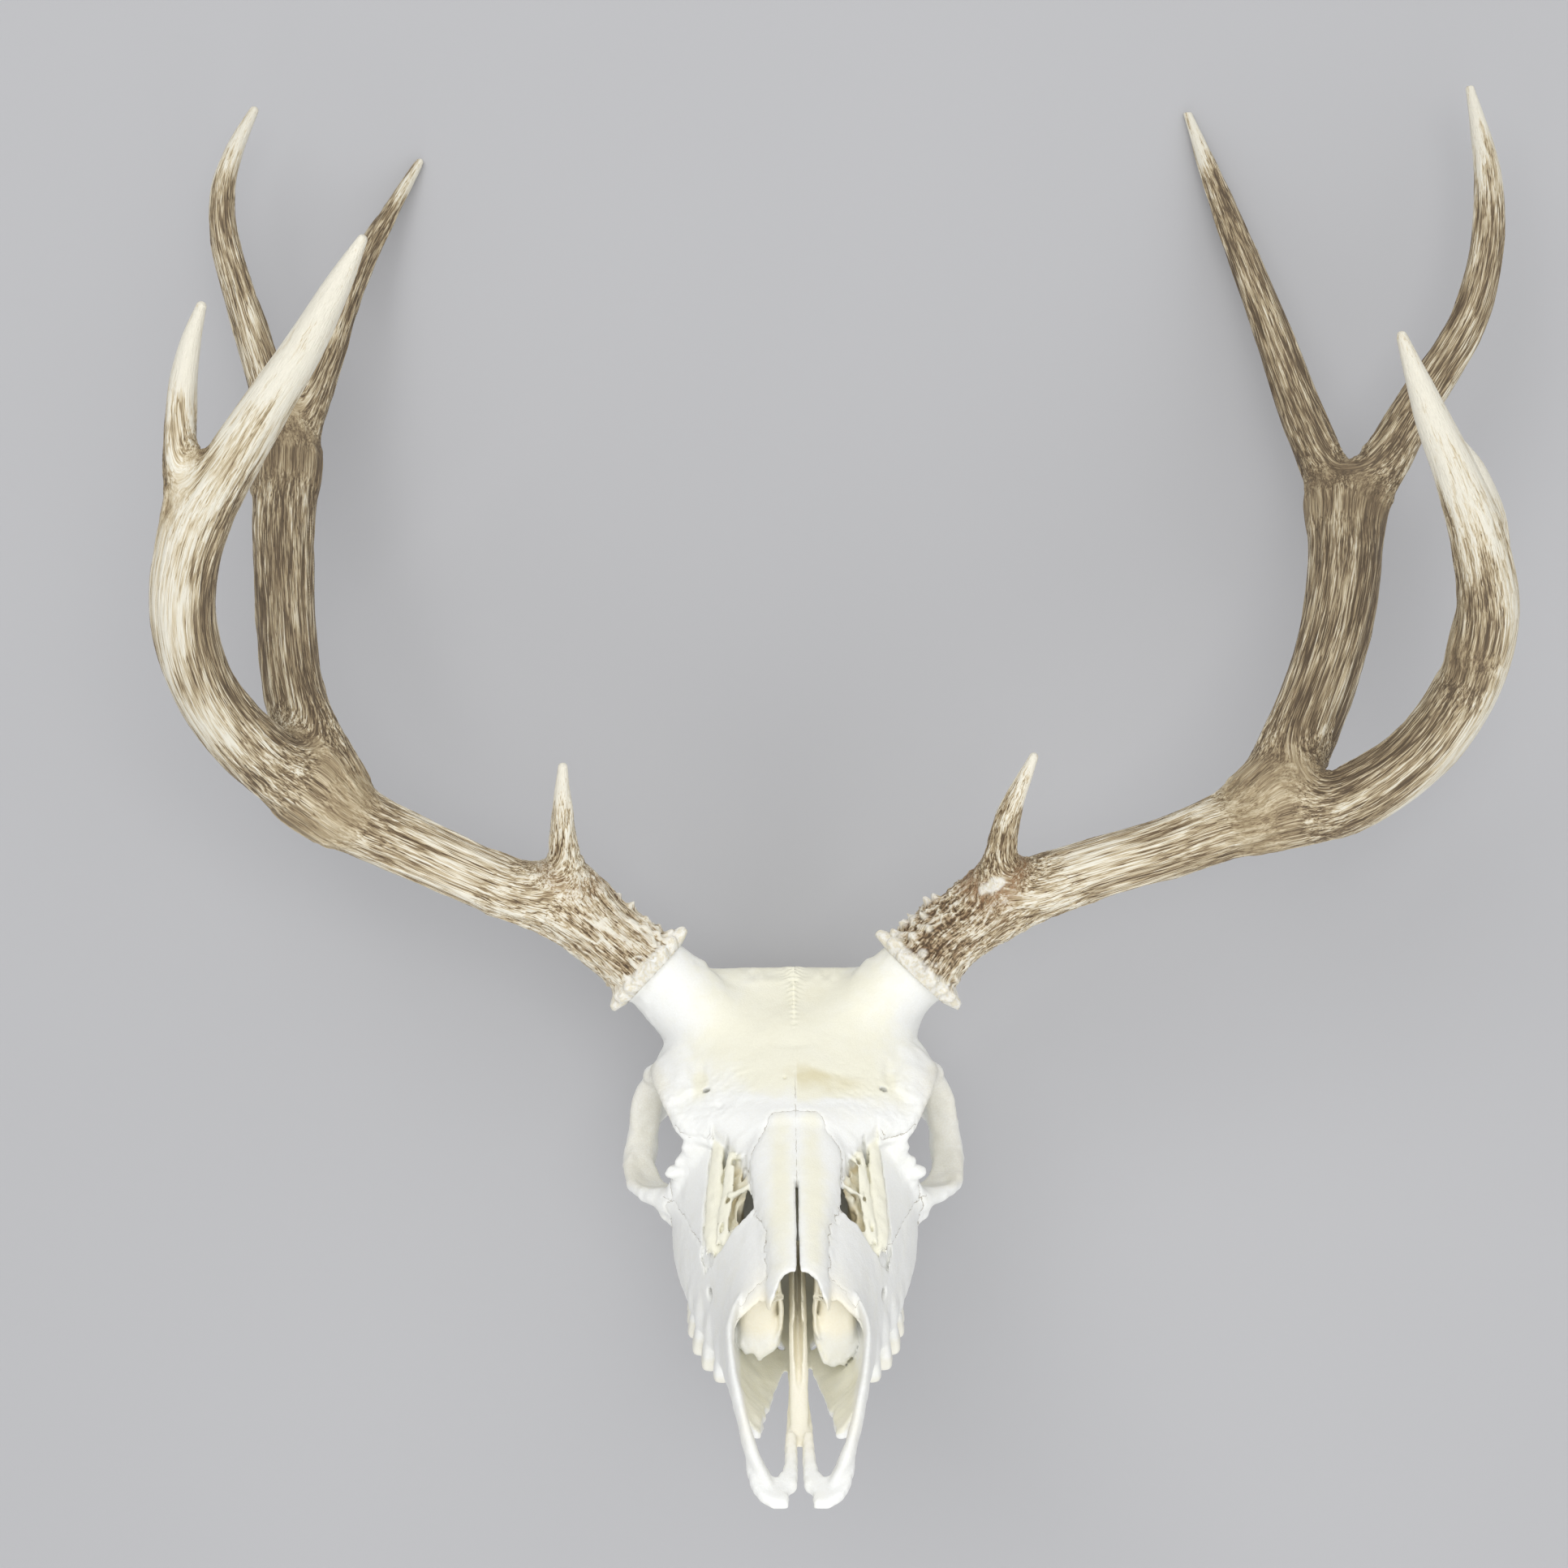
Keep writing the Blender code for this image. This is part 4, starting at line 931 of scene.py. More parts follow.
# Outlines of the bones. The plans are in (place from the middle, y), the other two in (y, z).
NASAL_PLAN = (
    (-1, 60), (11.4, 60), (10.6, 80), (11, 94), (13.5, 101), (15.2, 107), (15.8, 116),
    (16.6, 123.5), (15.4, 126.2), (14.5, 129), (12.6, 131.4), (10.5, 133.5), (9.1, 137.3),
    (7.7, 138.7), (-1, 138.4))
NASAL_DEPTH = ((50, 30), (72, 37), (104, 49), (145, 62), (145, 120), (50, 120))
SNOUT_SIDE = ((-10, -20), (47, -20), (50, -5), (77, 47), (60, 90), (-10, 60))
LACRIMAL_PLAN = (
    (24, 141), (36, 151.5), (39, 158), (50, 158), (50, 146), (44, 138), (38, 130), (31, 110),
    (27, 108), (28, 124))
BROW_PLAN = (
    (-1, 130), (16.6, 123.5), (19, 130.5), (23.2, 137), (28.8, 143), (33, 142), (36, 142),
    (48, 151), (60, 164), (90, 200), (90, 224), (-1, 228))
# A face belongs to the first of these bones whose space it lies in. The maxilla takes what is left.
BONES = (
    "vomer", "nasal", "premaxilla", "lacrimal", "zygomatic", "frontal", "occipital", "braincase",
    "maxilla")
PAIRED = ("nasal", "premaxilla", "lacrimal", "zygomatic", "frontal", "maxilla")
SEAM_DEPTHS = (0.35, 0.2, 0.3, 0.3, 0.3, 0.25)      # grooves, in the order of seam_lines
SEAM_WIDTH = 0.8
# Nasal cavity: (y, height of its middle, half width, half height)
PASSAGE = ((30, 22, 19.4, 16), (52, 24, 20.6, 19.6), (72, 27, 21.5, 20), (92, 31, 20, 21),
           (118, 38, 19, 21), (146, 44, 16, 17))


def bone_fields(p):
    """How far each point of the skull lies outside the space of each of the BONES."""
    x, y, z = p.T
    side = np.abs(x)
    wobble = 0.7 * noise(x / 2.2, y / 2.2, z / 2.2, 5)
    brow_edge = np.interp(side, (27, 31), (61, 57)) + np.interp(side, (38, 46), (0, 3))
    brow_floor = np.minimum(brow_edge, np.interp(y, (150, 156, 165, 184), (61, 56, 54, 46)))
    nasal = highest(polygon_distance(side, y, NASAL_PLAN), polygon_distance(y, z, NASAL_DEPTH))
    lacrimal = highest(polygon_distance(side, y, LACRIMAL_PLAN), 30 - z, z - brow_edge)
    spaces = {
        "vomer": highest(side - 3.3, 9.8 - z, z - 46, y - 101),
        "nasal": nasal + wobble,
        "premaxilla": polygon_distance(y, z, SNOUT_SIDE) + wobble,
        "lacrimal": lacrimal + wobble,
        "zygomatic": highest(147 - y, y - 208, 44.5 - side, 6 - z, z - 46) + wobble,
        "frontal": highest(polygon_distance(side, y, BROW_PLAN) + wobble, brow_floor - z - wobble),
        "occipital": (256 + (z + 40) * 0.046) - y + wobble,
        "braincase": 164 - y,
        "maxilla": np.full_like(x, -1),
    }
    return np.stack([spaces[bone] for bone in BONES], axis=1)


def pushed(seam, *amounts):
    """A signed seam distance with its line moved away where the seam is not to be seen."""
    for amount in amounts:
        seam = seam + np.sign(seam) * np.maximum(amount, 0)
    return seam


def seam_lines(p, fields):
    """Signed distances to the seams that show."""
    side, y, z = np.abs(p[:, 0]), p[:, 1], p[:, 2]
    space = dict(zip(BONES, fields.T))
    off_nasal = -4 * space["nasal"]
    behind = 3 * (y - 150)
    near_middle = 8 * smoothstep(0.5, -0.5, side - 29.5)
    return np.stack([
        pushed(space["nasal"], 40 - z, side - 18, 74 - y),
        pushed(space["premaxilla"], off_nasal, 8 - side, 20 - z),
        pushed(space["lacrimal"], 30.0 - side, off_nasal, behind),
        pushed(space["zygomatic"], y - 162, 12 - z, z - 41),
        pushed(space["frontal"], behind, off_nasal, near_middle, side - 38),
        space["occipital"],
    ], axis=1)


def cream_tint(x, y, z, top):
    """Cream clouds on the brow, a ragged band across it, and a stripe along each nasal."""
    side = np.abs(x)
    clouds = layered(x / 26, y / 26, z / 26, 2, 7)
    brow = np.exp(-((side - 8) / 30) ** 4) * smoothstep(146, 158, y) * top
    ragged = y + 2.5 * layered(x / 7, y / 4, z / 7, 2, 33)
    band = smoothstep(139 + 0.34 * side, 147 + 0.34 * side, ragged)
    band = band * smoothstep(161, 152.5, ragged) * top
    right, left = 0.55 * smoothstep(30, 12, side), 0.22 * smoothstep(24, 8, side)
    ridge = np.exp(-((side - 5.5) / 4.0) ** 2)
    ridge = ridge * smoothstep(141, 134, y) * smoothstep(60, 80, y) * top
    cream = brow * (0.42 + 0.16 * clouds)
    cream = cream + band * np.where(x > 0.4, right, left)
    cream = cream + ridge * (0.35 + 0.12 * clouds)
    return cream + 0.05 + 0.06 * clouds


def passage_depth(p):
    """Rough distance into the nasal cavity, negative inside."""
    rows = np.array(PASSAGE)
    level, wide, tall = (np.interp(p[:, 1], rows[:, 0], rows[:, k]) for k in (1, 2, 3))
    ratio = np.sqrt((p[:, 0] / wide) ** 2 + ((p[:, 2] - level) / tall) ** 2)
    return (ratio - 1) * 18 + np.maximum(p[:, 1] - 150, 0)


def skull_shading(p, normal, fields):
    """Per-vertex values that the bone material reads."""
    x, y, z = p.T
    side = np.abs(x)
    top = smoothstep(0.0, 0.35, normal[:, 2])
    # inner wall of the orbit: a little cream, and painted shade through the shade value
    orbit_wall = smoothstep(24.5, 21.0, np.sqrt((y - 171) ** 2 + (z - 47) ** 2))
    orbit_wall = orbit_wall * smoothstep(34, 42, side)
    tongue = smoothstep(0.6, -1.2, polygon_distance(side, y, OPENING)) * smoothstep(28, 34, z)
    shelf = smoothstep(17, 12, z) * smoothstep(37, 42, y) * smoothstep(23, 18, side)
    shelf = shelf * smoothstep(0.0, 0.4, normal[:, 2])
    pit = np.exp(-(((side - 33.5) / 3.4) ** 2 + ((y - 160) / 7) ** 2)) * top
    cream = cream_tint(x, y, z, top)
    cream = highest(cream, 0.2 * orbit_wall, 0.45 * tongue, 0.4 * shelf, 0.6 * pit)
    # the edge of the scroll bones is paler than the inside of the nose
    rim = smoothstep(25, 19, z - 0.3 * np.abs(side - 13))
    rim = rim * smoothstep(82, 78, y) * smoothstep(72, 74, y) * (side > 5) * (z > 8)
    inner = smoothstep(0.8, -2.5, passage_depth(p)) * smoothstep(14, 40, y)
    inner = inner * (1 - 0.2 * shelf) * (1 - 0.8 * rim)
    tooth = smoothstep(1.5, -1.5, z) * smoothstep(80, 83, y)
    tooth = tooth * smoothstep(163, 160, y) * smoothstep(15, 18, side)
    seams = seam_lines(p, fields)
    depth = loft_shape(FACE)[2](*(axis.reshape(1, -1, 1) for axis in (x, y, z))).ravel()
    # deep cells of the lacrimal opening turn brown with depth below the skin: partly the cells' own
    # ochre, partly painted shade of the recess
    cell = smoothstep(0.8, -0.6, polygon_distance(side, y, DEEP_OPENING))
    cell = cell * smoothstep(-2.8, -5.0, depth) * smoothstep(28, 32, z)
    return {
        "cream": np.clip(cream, 0, 1), "inner": inner, "tooth": tooth, "shade": orbit_wall,
        "cell": cell, "seams": seams[:, :3], "seams_two": seams[:, 3:], "skull_place": p * 0.1,
    }


def skull_relief(p, normal, fields):
    """How far each vertex moves along its normal, mm."""
    x, y, z = p.T
    side = np.abs(x)
    move = 0.16 * layered(x / 6, y / 6, z / 6, 3, 17)
    for seam, depth in zip(seam_lines(p, fields).T, SEAM_DEPTHS):
        move = move - depth * np.exp(-(seam / SEAM_WIDTH) ** 2)
    dorsal = z > 40
    middle = np.exp(-(side / 0.9) ** 2) * dorsal
    middle = middle * smoothstep(0.2, 0.5, normal[:, 2]) * smoothstep(70, 74, y)
    move = move - middle * (0.2 + 0.3 * smoothstep(150, 120, y))
    # interlocking ridges of the seam between the frontals, high on the brow
    knit = np.exp(-(side / (1.2 + 2.0 * smoothstep(186, 204, y))) ** 2) * dorsal
    knit = knit * smoothstep(172, 184, y) * smoothstep(216, 208, y)
    move = move + 0.6 * knit * np.sin(2.5 * y + 1.3 * side + 2.4 * noise(x / 2, y / 3, z / 3, 19))
    # uneven bone at the crest, on the brow and on the outer rim of the orbit
    crest = smoothstep(196, 201, y) * smoothstep(212, 207, y) * (side < 36) * dorsal
    move = move + 0.7 * crest * noise(x / 3.0, y / 6, z / 6, 23)
    brow = smoothstep(168, 156, y) * smoothstep(139, 146, y) * dorsal * smoothstep(8, 20, side)
    move = move + 0.22 * brow * layered(x / 2.2, y / 1.3, z / 2.2, 2, 27)
    rim = smoothstep(49, 56, side) * smoothstep(-2, 30, z) * smoothstep(150, 160, y)
    return move + 0.4 * rim * noise(x / 3.2, y / 3.2, z / 3.2, 29)


def to_rest(p):
    """Skull frame, mm, to the resting pose, metres."""
    x = p[:, 0] + SNOUT_LEAN * (LEAN_PIVOT - p[:, 1])
    y = p[:, 1] + SNOUT_LEAN * p[:, 0]
    cos, sin = math.cos(PALATE_TILT), math.sin(PALATE_TILT)
    forward = NOSE_FORWARD + y * cos + p[:, 2] * sin
    return within_box(np.stack([x, forward, NOSE_HEIGHT - y * sin + p[:, 2] * cos], axis=1))


def within_box(p):
    """Resting pose, mm, to metres, no further out than the solids reach."""
    low, high = (np.array(tuple(corner)) for corner in cad_box)
    return np.clip((p + REST_SHIFT) * MM, low, high)


def beyond_burr(p):
    """Which places, in metres, lie past the plane where an antler is joined."""
    beyond = np.zeros(len(p), bool)
    for side, s in SIDES:
        centre = np.array(BURR_CENTRES[side]) + REST_SHIFT
        run = (p / MM - centre) @ unit(np.array(BURR_AXES[side]))
        beyond |= (run > PEDICLE_END) & (np.sign(p[:, 0] / MM - REST_SHIFT[0]) == s)
    return beyond


def build_skull(material):
    verts, quads = surface_net(whole_skull(SKULL_STEP))
    quads = without_crumbs(verts, quads)
    verts = relaxed(verts, quads, 2, 0.4)
    normal = normals_of(verts, quads)
    fields = bone_fields(verts)
    verts = verts + normal * skull_relief(verts, normal, fields)[:, None].astype(np.float32)
    shading = skull_shading(verts, normal, fields)
    centre = verts[quads].mean(axis=1)
    owner = (bone_fields(centre) < 0).argmax(axis=1)
    rest = to_rest(verts)
    shown = ~beyond_burr(rest[quads].mean(axis=1))
    for k, bone in enumerate(BONES):
        groups = {bone: shown & (owner == k)}
        if bone in PAIRED:
            groups = {f"{bone}_{side}": groups[bone] & (centre[:, 0] * s > 0) for side, s in SIDES}
        for node, mine in groups.items():
            piece = piece_mesh(node + "_bone", rest, quads[mine], shading, material)
            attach(piece, "root")
            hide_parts(node)


# ---------------------------------------------------------------- antlers

def branch_frames(path, parent=None, steps=6):
    """Rows along a branch, with length and frames that carry on from the branch it grows from."""
    rows = curve_rows(path, steps)
    points = rows[:, :3]
    tangent = np.gradient(points, axis=0)
    tangent /= np.linalg.norm(tangent, axis=1)[:, None]
    if rows[-1, 3] <= TIP:
        points[-1] -= tangent[-1] * TIP
    side, start = np.cross(tangent[0], (0.0, 0.0, 1.0)), 0.0
    if parent is not None:
        nearest = ((parent["rows"][:, :3] - points[0]) ** 2).sum(axis=1).argmin()
        side, start = parent["sides"][nearest], parent["run"][nearest]
    side = unit(side)
    sides = []
    for t in tangent:
        side = unit(side - t * (side @ t))
        sides.append(side)
    sides = np.array(sides, np.float32)
    third = np.cross(tangent, sides)
    steps = np.linalg.norm(np.diff(points, axis=0), axis=1)
    run = np.concatenate([[0], np.cumsum(steps)]).astype(np.float32) + np.float32(start)
    return {"rows": rows, "run": run, "sides": sides, "third": third.astype(np.float32)}


def branch_lines(branches):
    lines = {}
    for branch, path in branches.items():
        lines[branch] = branch_frames(path, lines.get(PARENTS.get(branch)))
    return lines


def branch_distance(p, line):
    """Distance to a tapered branch, and the place along, across and above its middle line."""
    rows, run = line["rows"], line["run"]
    best = np.full(len(p), 1e3, np.float32)
    along = np.zeros(len(p), np.float32)
    across = np.zeros(len(p), np.float32)
    height = np.zeros(len(p), np.float32)
    for k in range(len(rows) - 1):
        a, b = rows[k], rows[k + 1]
        step = b[:3] - a[:3]
        offset = p - a[:3]
        t = np.clip(offset @ step / (step @ step), 0, 1)
        offset = offset - t[:, None] * step
        distance = np.sqrt((offset ** 2).sum(axis=1)) - (a[3] + (b[3] - a[3]) * t)
        near = distance < best
        best = np.where(near, distance, best)
        along = np.where(near, run[k] + t * (run[k + 1] - run[k]), along)
        across = np.where(near, offset @ line["sides"][k], across)
        height = np.where(near, offset @ line["third"][k], height)
    return best, along, across, height


def branch_values(p, lines):
    return {branch: branch_distance(p, line) for branch, line in lines.items()}


def antler_distance(p, lines):
    """Smooth union of all branches."""
    total = np.full(len(p), 1e3, np.float32)
    for branch, (distance, *_) in branch_values(p, lines).items():
        total = smooth_min(total, distance, BROW_BLEND if branch == "brow_tine" else FORK_BLEND)
    return total


def antler_mesh(lines):
    paths = np.concatenate([line["rows"] for line in lines.values()])
    reach = paths[:, 3].max() + 6
    low, high = paths[:, :3].min(axis=0) - reach, paths[:, :3].max(axis=0) + reach
    field = Field(low, high, ANTLER_STEP)
    for line in lines.values():
        tube = [(*row, row[3]) for row in line["rows"].tolist()]
        field.add(sweep_shape(tube, (0.13, 0.29, 0.95), 1), FORK_BLEND)
    verts, quads = surface_net(field)
    verts, quads = divided(relaxed(verts, quads, 1), quads)
    for _ in range(2):
        off = np.clip(antler_distance(verts, lines), -1.5, 1.5)
        verts = verts - normals_of(verts, quads) * off[:, None]
    return verts, quads


# Where the rear beam forks, mm
REAR_FORKS = {"left": (-194.0, 120.0, 68.0), "right": (211.0, 104.0, 68.0)}
FORK_ACROSS = np.array((0.0, 0.47, 0.88))       # the direction in which the rear forks are flat
WORN_PATCH = (71.3, -37.0, 120.0)               # on the right antler's base
# Knobs round the burr and above it: (angle in degrees, run along the antler, size, height), mm
BURR_LOBES = {
    "left": (
        (86, 0.2, 3.2, 6.6), (62, 1.0, 2.6, 3.8), (108, 2.5, 2.6, 3.4), (80, 3.4, 2.0, 3.6),
        (-88, 0.0, 3.4, 5.4), (-64, 0.8, 2.8, 3.4), (-40, 1.2, 2.2, 2.6), (36, 1.4, 2.4, 2.8),
        (6, 0.8, 2.6, 2.2), (-14, 2.0, 2.0, 2.0), (88, 8.5, 1.3, 1.6), (84, 14, 1.3, 1.5),
        (92, 21, 1.5, 2.0), (86, 27, 1.4, 1.9), (60, 12, 2.0, 1.3)),
    "right": (
        (-86, 0.2, 3.4, 6.2), (-62, 1.2, 3.0, 4.2), (-104, 2.2, 2.6, 3.0), (-78, 3.8, 2.2, 3.8),
        (90, 0.0, 3.4, 6.0), (68, 0.9, 2.8, 3.4), (46, 1.6, 2.0, 2.4), (-36, 1.0, 2.8, 2.8),
        (-8, 1.8, 2.4, 2.2), (20, 0.9, 2.2, 2.4), (-86, 9.0, 1.7, 2.4), (-80, 12.5, 2.0, 2.8),
        (-88, 20.5, 1.7, 4.2), (-84, 23.6, 1.5, 3.0), (-50, 8, 2.0, 2.2), (-40, 14, 1.8, 1.8),
        (-62, 16, 1.6, 2.0), (-20, 6, 2.2, 1.8), (-70, 5, 2.0, 2.4)),
}
# Where a branch turns to ivory:
# (share of its length, share where it is full, rubbing of its outer side)
POLISH = {
    "brow_tine": (0.5, 1.1, 0.0),
    "rear_inner_tine": (0.82, 1.05, 0.0),
    "rear_outer_tine": (0.55, 1.05, 0.25),
    "front_beam": (0.48, 0.88, 0.75),
    "front_tine": (0.25, 0.8, 0.5),
}
# How the two antlers differ
LOOKS = {
    "left": {
        "seed": 150,
        "rubbed": (-0.25, -0.2, 0.95),      # the way the worn side faces
        "mesh": (9.0, 5.0),                 # pearled zone: length and width of its ridges, mm
        "tall": 0.8,                        # their height, mm
        "least": 0.55,                      # their strength on the outer side,
        "most": 0.45,                       # and what the inner side has more
        "beads": 0.6,                       # strength of the beads between them
        "dark": 0.5,                        # strength of the dark in the hollows
        "crust": 3.8,                       # how far up the bleached burr reaches, mm
        "foot": 0.85,                       # how pale the base is
        "stain": 0.45,                      # rust at the brow tine
    },
    "right": {
        "seed": 100,
        "rubbed": (0.80, -0.50, 0.33),
        "mesh": (5.2, 3.1),
        "tall": 1.5,
        "least": 0.35,
        "most": 0.65,
        "beads": 1.6,
        "dark": 1.0,
        "crust": 5.2,
        "foot": 0.0,
        "stain": 1.0,
    },
}


def burr_frame(p, side):
    """Where a point lies on an antler's foot: along its axis, its angle, and across it two ways."""
    centre, axis = np.array(BURR_CENTRES[side]), unit(np.array(BURR_AXES[side]))
    offset = p - centre
    run = offset @ axis
    across = offset @ np.cross(axis, (0, 0, 1))
    return run, np.arctan2(across, offset[:, 2]), across, offset[:, 2]


def burr_relief(p, side):
    """A ring of uneven knobs round the antler's foot: extra reach outwards, mm."""
    run, angle, across, height = burr_frame(p, side)
    ripple = 1 + 0.5 * noise(across / 3, height / 3, run / 3, 77)
    reach = 0.5 * np.exp(-((run - 0.6) / 1.7) ** 2) * ripple
    ring = [
        (360 * (k + 0.7 * math.sin(7.3 * k)) / 23, 0.6 + 2.2 * math.sin(5.1 * k) ** 2,
         1.3 + 0.5 * math.sin(3.7 * k), 1.7 + 1.0 * math.sin(11.9 * k + 1)) for k in range(23)]
    upper = [
        (360 * (k + 0.7 * math.sin(4.3 * k)) / 19, 5.4 + 2.2 * math.sin(9.1 * k),
         1.1 + 0.3 * math.sin(2.7 * k), 1.0 + 0.6 * math.sin(6.9 * k)) for k in range(19)]
    for turn, place, size, tall in (*BURR_LOBES[side], *ring, *upper):
        off = (angle - math.radians(turn) + math.pi) % (2 * math.pi) - math.pi
        gap = ((off * BURR_RADIUS) ** 2 + (run - place) ** 2) / size ** 2
        reach = np.maximum(reach, tall * np.exp(-gap ** 1.4))
    return reach * smoothstep(-2.6, -1.2, run)


def pearled_zone(side, run, across, height):
    """The zone above the burr, where low worm-like ridges and beads stand over dark hollows."""
    look = LOOKS[side]
    s = dict(SIDES)[side]
    long, wide = look["mesh"]
    zone = smoothstep(52, 24, run) * smoothstep(0, 4, run)
    strength = look["least"] + look["most"] * smoothstep(-9, 6, -s * across + 0.4 * height)
    bend = 2.0 * noise(run / 9, across / 7, height / 7, 83)
    net = np.abs(layered((run + bend) / long, (across + bend) / wide, height / wide, 2, 81))
    broken = smoothstep(-0.6, 0.1, noise(run / 6, across / 5, height / 5, 85))
    worm = np.clip(1 - net * 5.0, 0, 1) * broken
    beads = np.clip(0.5 - cells(run / 3.4, across / 2.6, height / 2.6, 87), 0, 1) * look["beads"]
    return zone, strength, zone * strength * np.maximum(worm, beads)


def bleached_parts(p, side, run, knobs):
    """The white crust of the burr, the tops of its knobs, and the right antler's worn patch."""
    crust = LOOKS[side]["crust"]
    ragged = run + 3.0 * noise(*(p / 2.6).T, 91)
    bleach = smoothstep(crust, crust - 2.5, ragged)
    tops = 0.8 * smoothstep(0.5, 1.7, knobs) * smoothstep(36, 24, run)
    off = p - np.array(WORN_PATCH)
    along, across = off @ (0.84, 0.54, 0), off @ (-0.54, 0.84, 0)
    worn = np.sqrt(along ** 2 / 9 + across ** 2 / 2.4 + off[:, 2] ** 2 / 40)
    worn = 0.9 * smoothstep(1.9, 1.2, worn + 0.5 * noise(*(p / 2).T, 93))
    return highest(bleach, tops, worn)


def antler_relief(p, normal, side, lines, values):
    """Displacement, mm, and the shading values of the antler's skin."""
    look = LOOKS[side]
    s = dict(SIDES)[side]
    names = list(values)
    distance = np.stack([values[n][0] for n in names])
    weight = np.exp(-np.clip(distance - distance.min(axis=0), 0, 30) / 3.6)
    weight /= weight.sum(axis=0)
    run, _, across_foot, height_foot = burr_frame(p, side)
    knobs = burr_relief(p, side)
    grain = sum(
        weight[k][:, None] * np.stack(values[name][1:], axis=1) for k, name in enumerate(names))
    # the grain runs in shorter dashes near the burr
    grain[:, 0] -= 1.7 * np.maximum(66 - run, 0) * smoothstep(-8, 4, run)
    along, across, height = grain.T
    bend = 1.3 * noise(along / 22, across / 9, height / 9, look["seed"])
    broad = layered(along / 36, (across + bend) / 2.4, (height + bend) / 2.4, 2, look["seed"] + 1)
    fine = layered(along / 18, (across + bend) / 1.2, (height + bend) / 1.2, 2, look["seed"] + 2)
    furrow = 0.5 * broad + 0.6 * fine
    ivory = np.zeros(len(p), np.float32)
    patch = 0.10 * noise(along / 18, across / 4, height / 4, 95) + 0.05 * fine
    rubbed = normal @ np.array(look["rubbed"])
    for name, (start, full, rub) in POLISH.items():
        length = lines[name]["run"]
        share = (values[name][1] - length[0]) / (length[-1] - length[0]) + patch
        worn = rub * smoothstep(0.35, 0.95, rubbed + 1.5 * patch) * smoothstep(0.05, 0.3, share)
        ivory += weight[names.index(name)] * np.maximum(smoothstep(start, full, share), worn)
    relief = 0.62 * furrow * (1 - 0.85 * ivory)
    # a rear fork is wide but flat
    swell = np.exp(-(np.sqrt(((p - np.array(REAR_FORKS[side])) ** 2).sum(axis=1)) / 19) ** 3)
    relief = relief - 3.6 * swell * (normal @ FORK_ACROSS) ** 2
    zone, strength, pearl = pearled_zone(side, run, across_foot, height_foot)
    relief = relief * (1 + 0.3 * zone) + look["tall"] * pearl + knobs
    order = np.sort(distance, axis=0)
    fork = np.exp(-((order[1] - order[0]) / 4.5) ** 2) * smoothstep(12, 5, order[1])
    brow = weight[names.index("brow_tine")] > 0.02
    pale = smoothstep(-2, 12, s * across_foot) * smoothstep(170, 60, run) * (run > 0)
    pale = np.maximum(pale, look["foot"] * smoothstep(90, 50, run))
    return relief, {
        "grain": grain, "ivory": ivory, "furrow": furrow, "pearl": pearl,
        "bleach": bleached_parts(p, side, run, knobs), "zone": zone * strength * look["dark"],
        "web": fork * np.where(brow, 0.0, 1.0), "stain": fork * np.where(brow, look["stain"], 0.0),
        "pale": pale, "far": smoothstep(60, 190, run),
    }


def branch_owner(p, side, values):
    """Which branch each face belongs to, parted at the forks."""
    names = list(values)
    owner = np.stack([values[n][0] for n in names]).argmin(axis=0)
    cuts = []
    for name, where in BRANCH_CUTS.items():
        here, ahead = (np.array(catmull(ANTLERS[side][name], t)) for t in (where, where + 0.02))
        cuts.append((name, PARENTS[name], here, ahead[:3] - here[:3]))
    for name, parent, here, along in cuts:
        before = (p - here[:3]) @ along < 0
        owner = np.where((owner == names.index(name)) & before, names.index(parent), owner)
    # a carrying branch ends where its forks begin
    for name, parent, here, along in cuts:
        along = unit(along)
        run = (p - here[:3]) @ along
        radial = np.linalg.norm((p - here[:3]) - run[:, None] * along, axis=1)
        after = (run > 0) & (radial < here[3] * 1.35 + 1.5)
        after &= values[name][0] < values[parent][0] + 1.0
        owner = np.where((owner == names.index(parent)) & after, names.index(name), owner)
    return owner


def build_antler(side, material):
    lines = branch_lines(ANTLERS[side])
    verts, quads = antler_mesh(lines)
    normal = normals_of(verts, quads)
    relief, shading = antler_relief(verts, normal, side, lines, branch_values(verts, lines))
    shading["rest_place"] = verts * 0.1
    verts = verts + normal * relief[:, None]
    # the foot is a flat cut that meets the skull
    axis = unit(np.array(BURR_AXES[side]))
    run = (verts - np.array(BURR_CENTRES[side])) @ axis
    verts = verts + np.maximum(-FOOT_DEPTH - run, 0)[:, None] * axis
    middle = verts[quads].mean(axis=1)
    owner = branch_owner(middle, side, branch_values(middle, lines))
    rest = within_box(verts)
    for k, name in enumerate(lines):
        piece = piece_mesh(f"antler_{side}_{name}_skin", rest, quads[owner == k], shading, material)
        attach(piece, "root")
        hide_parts(f"antler_{side}_{name}")


# ---------------------------------------------------------------- materials

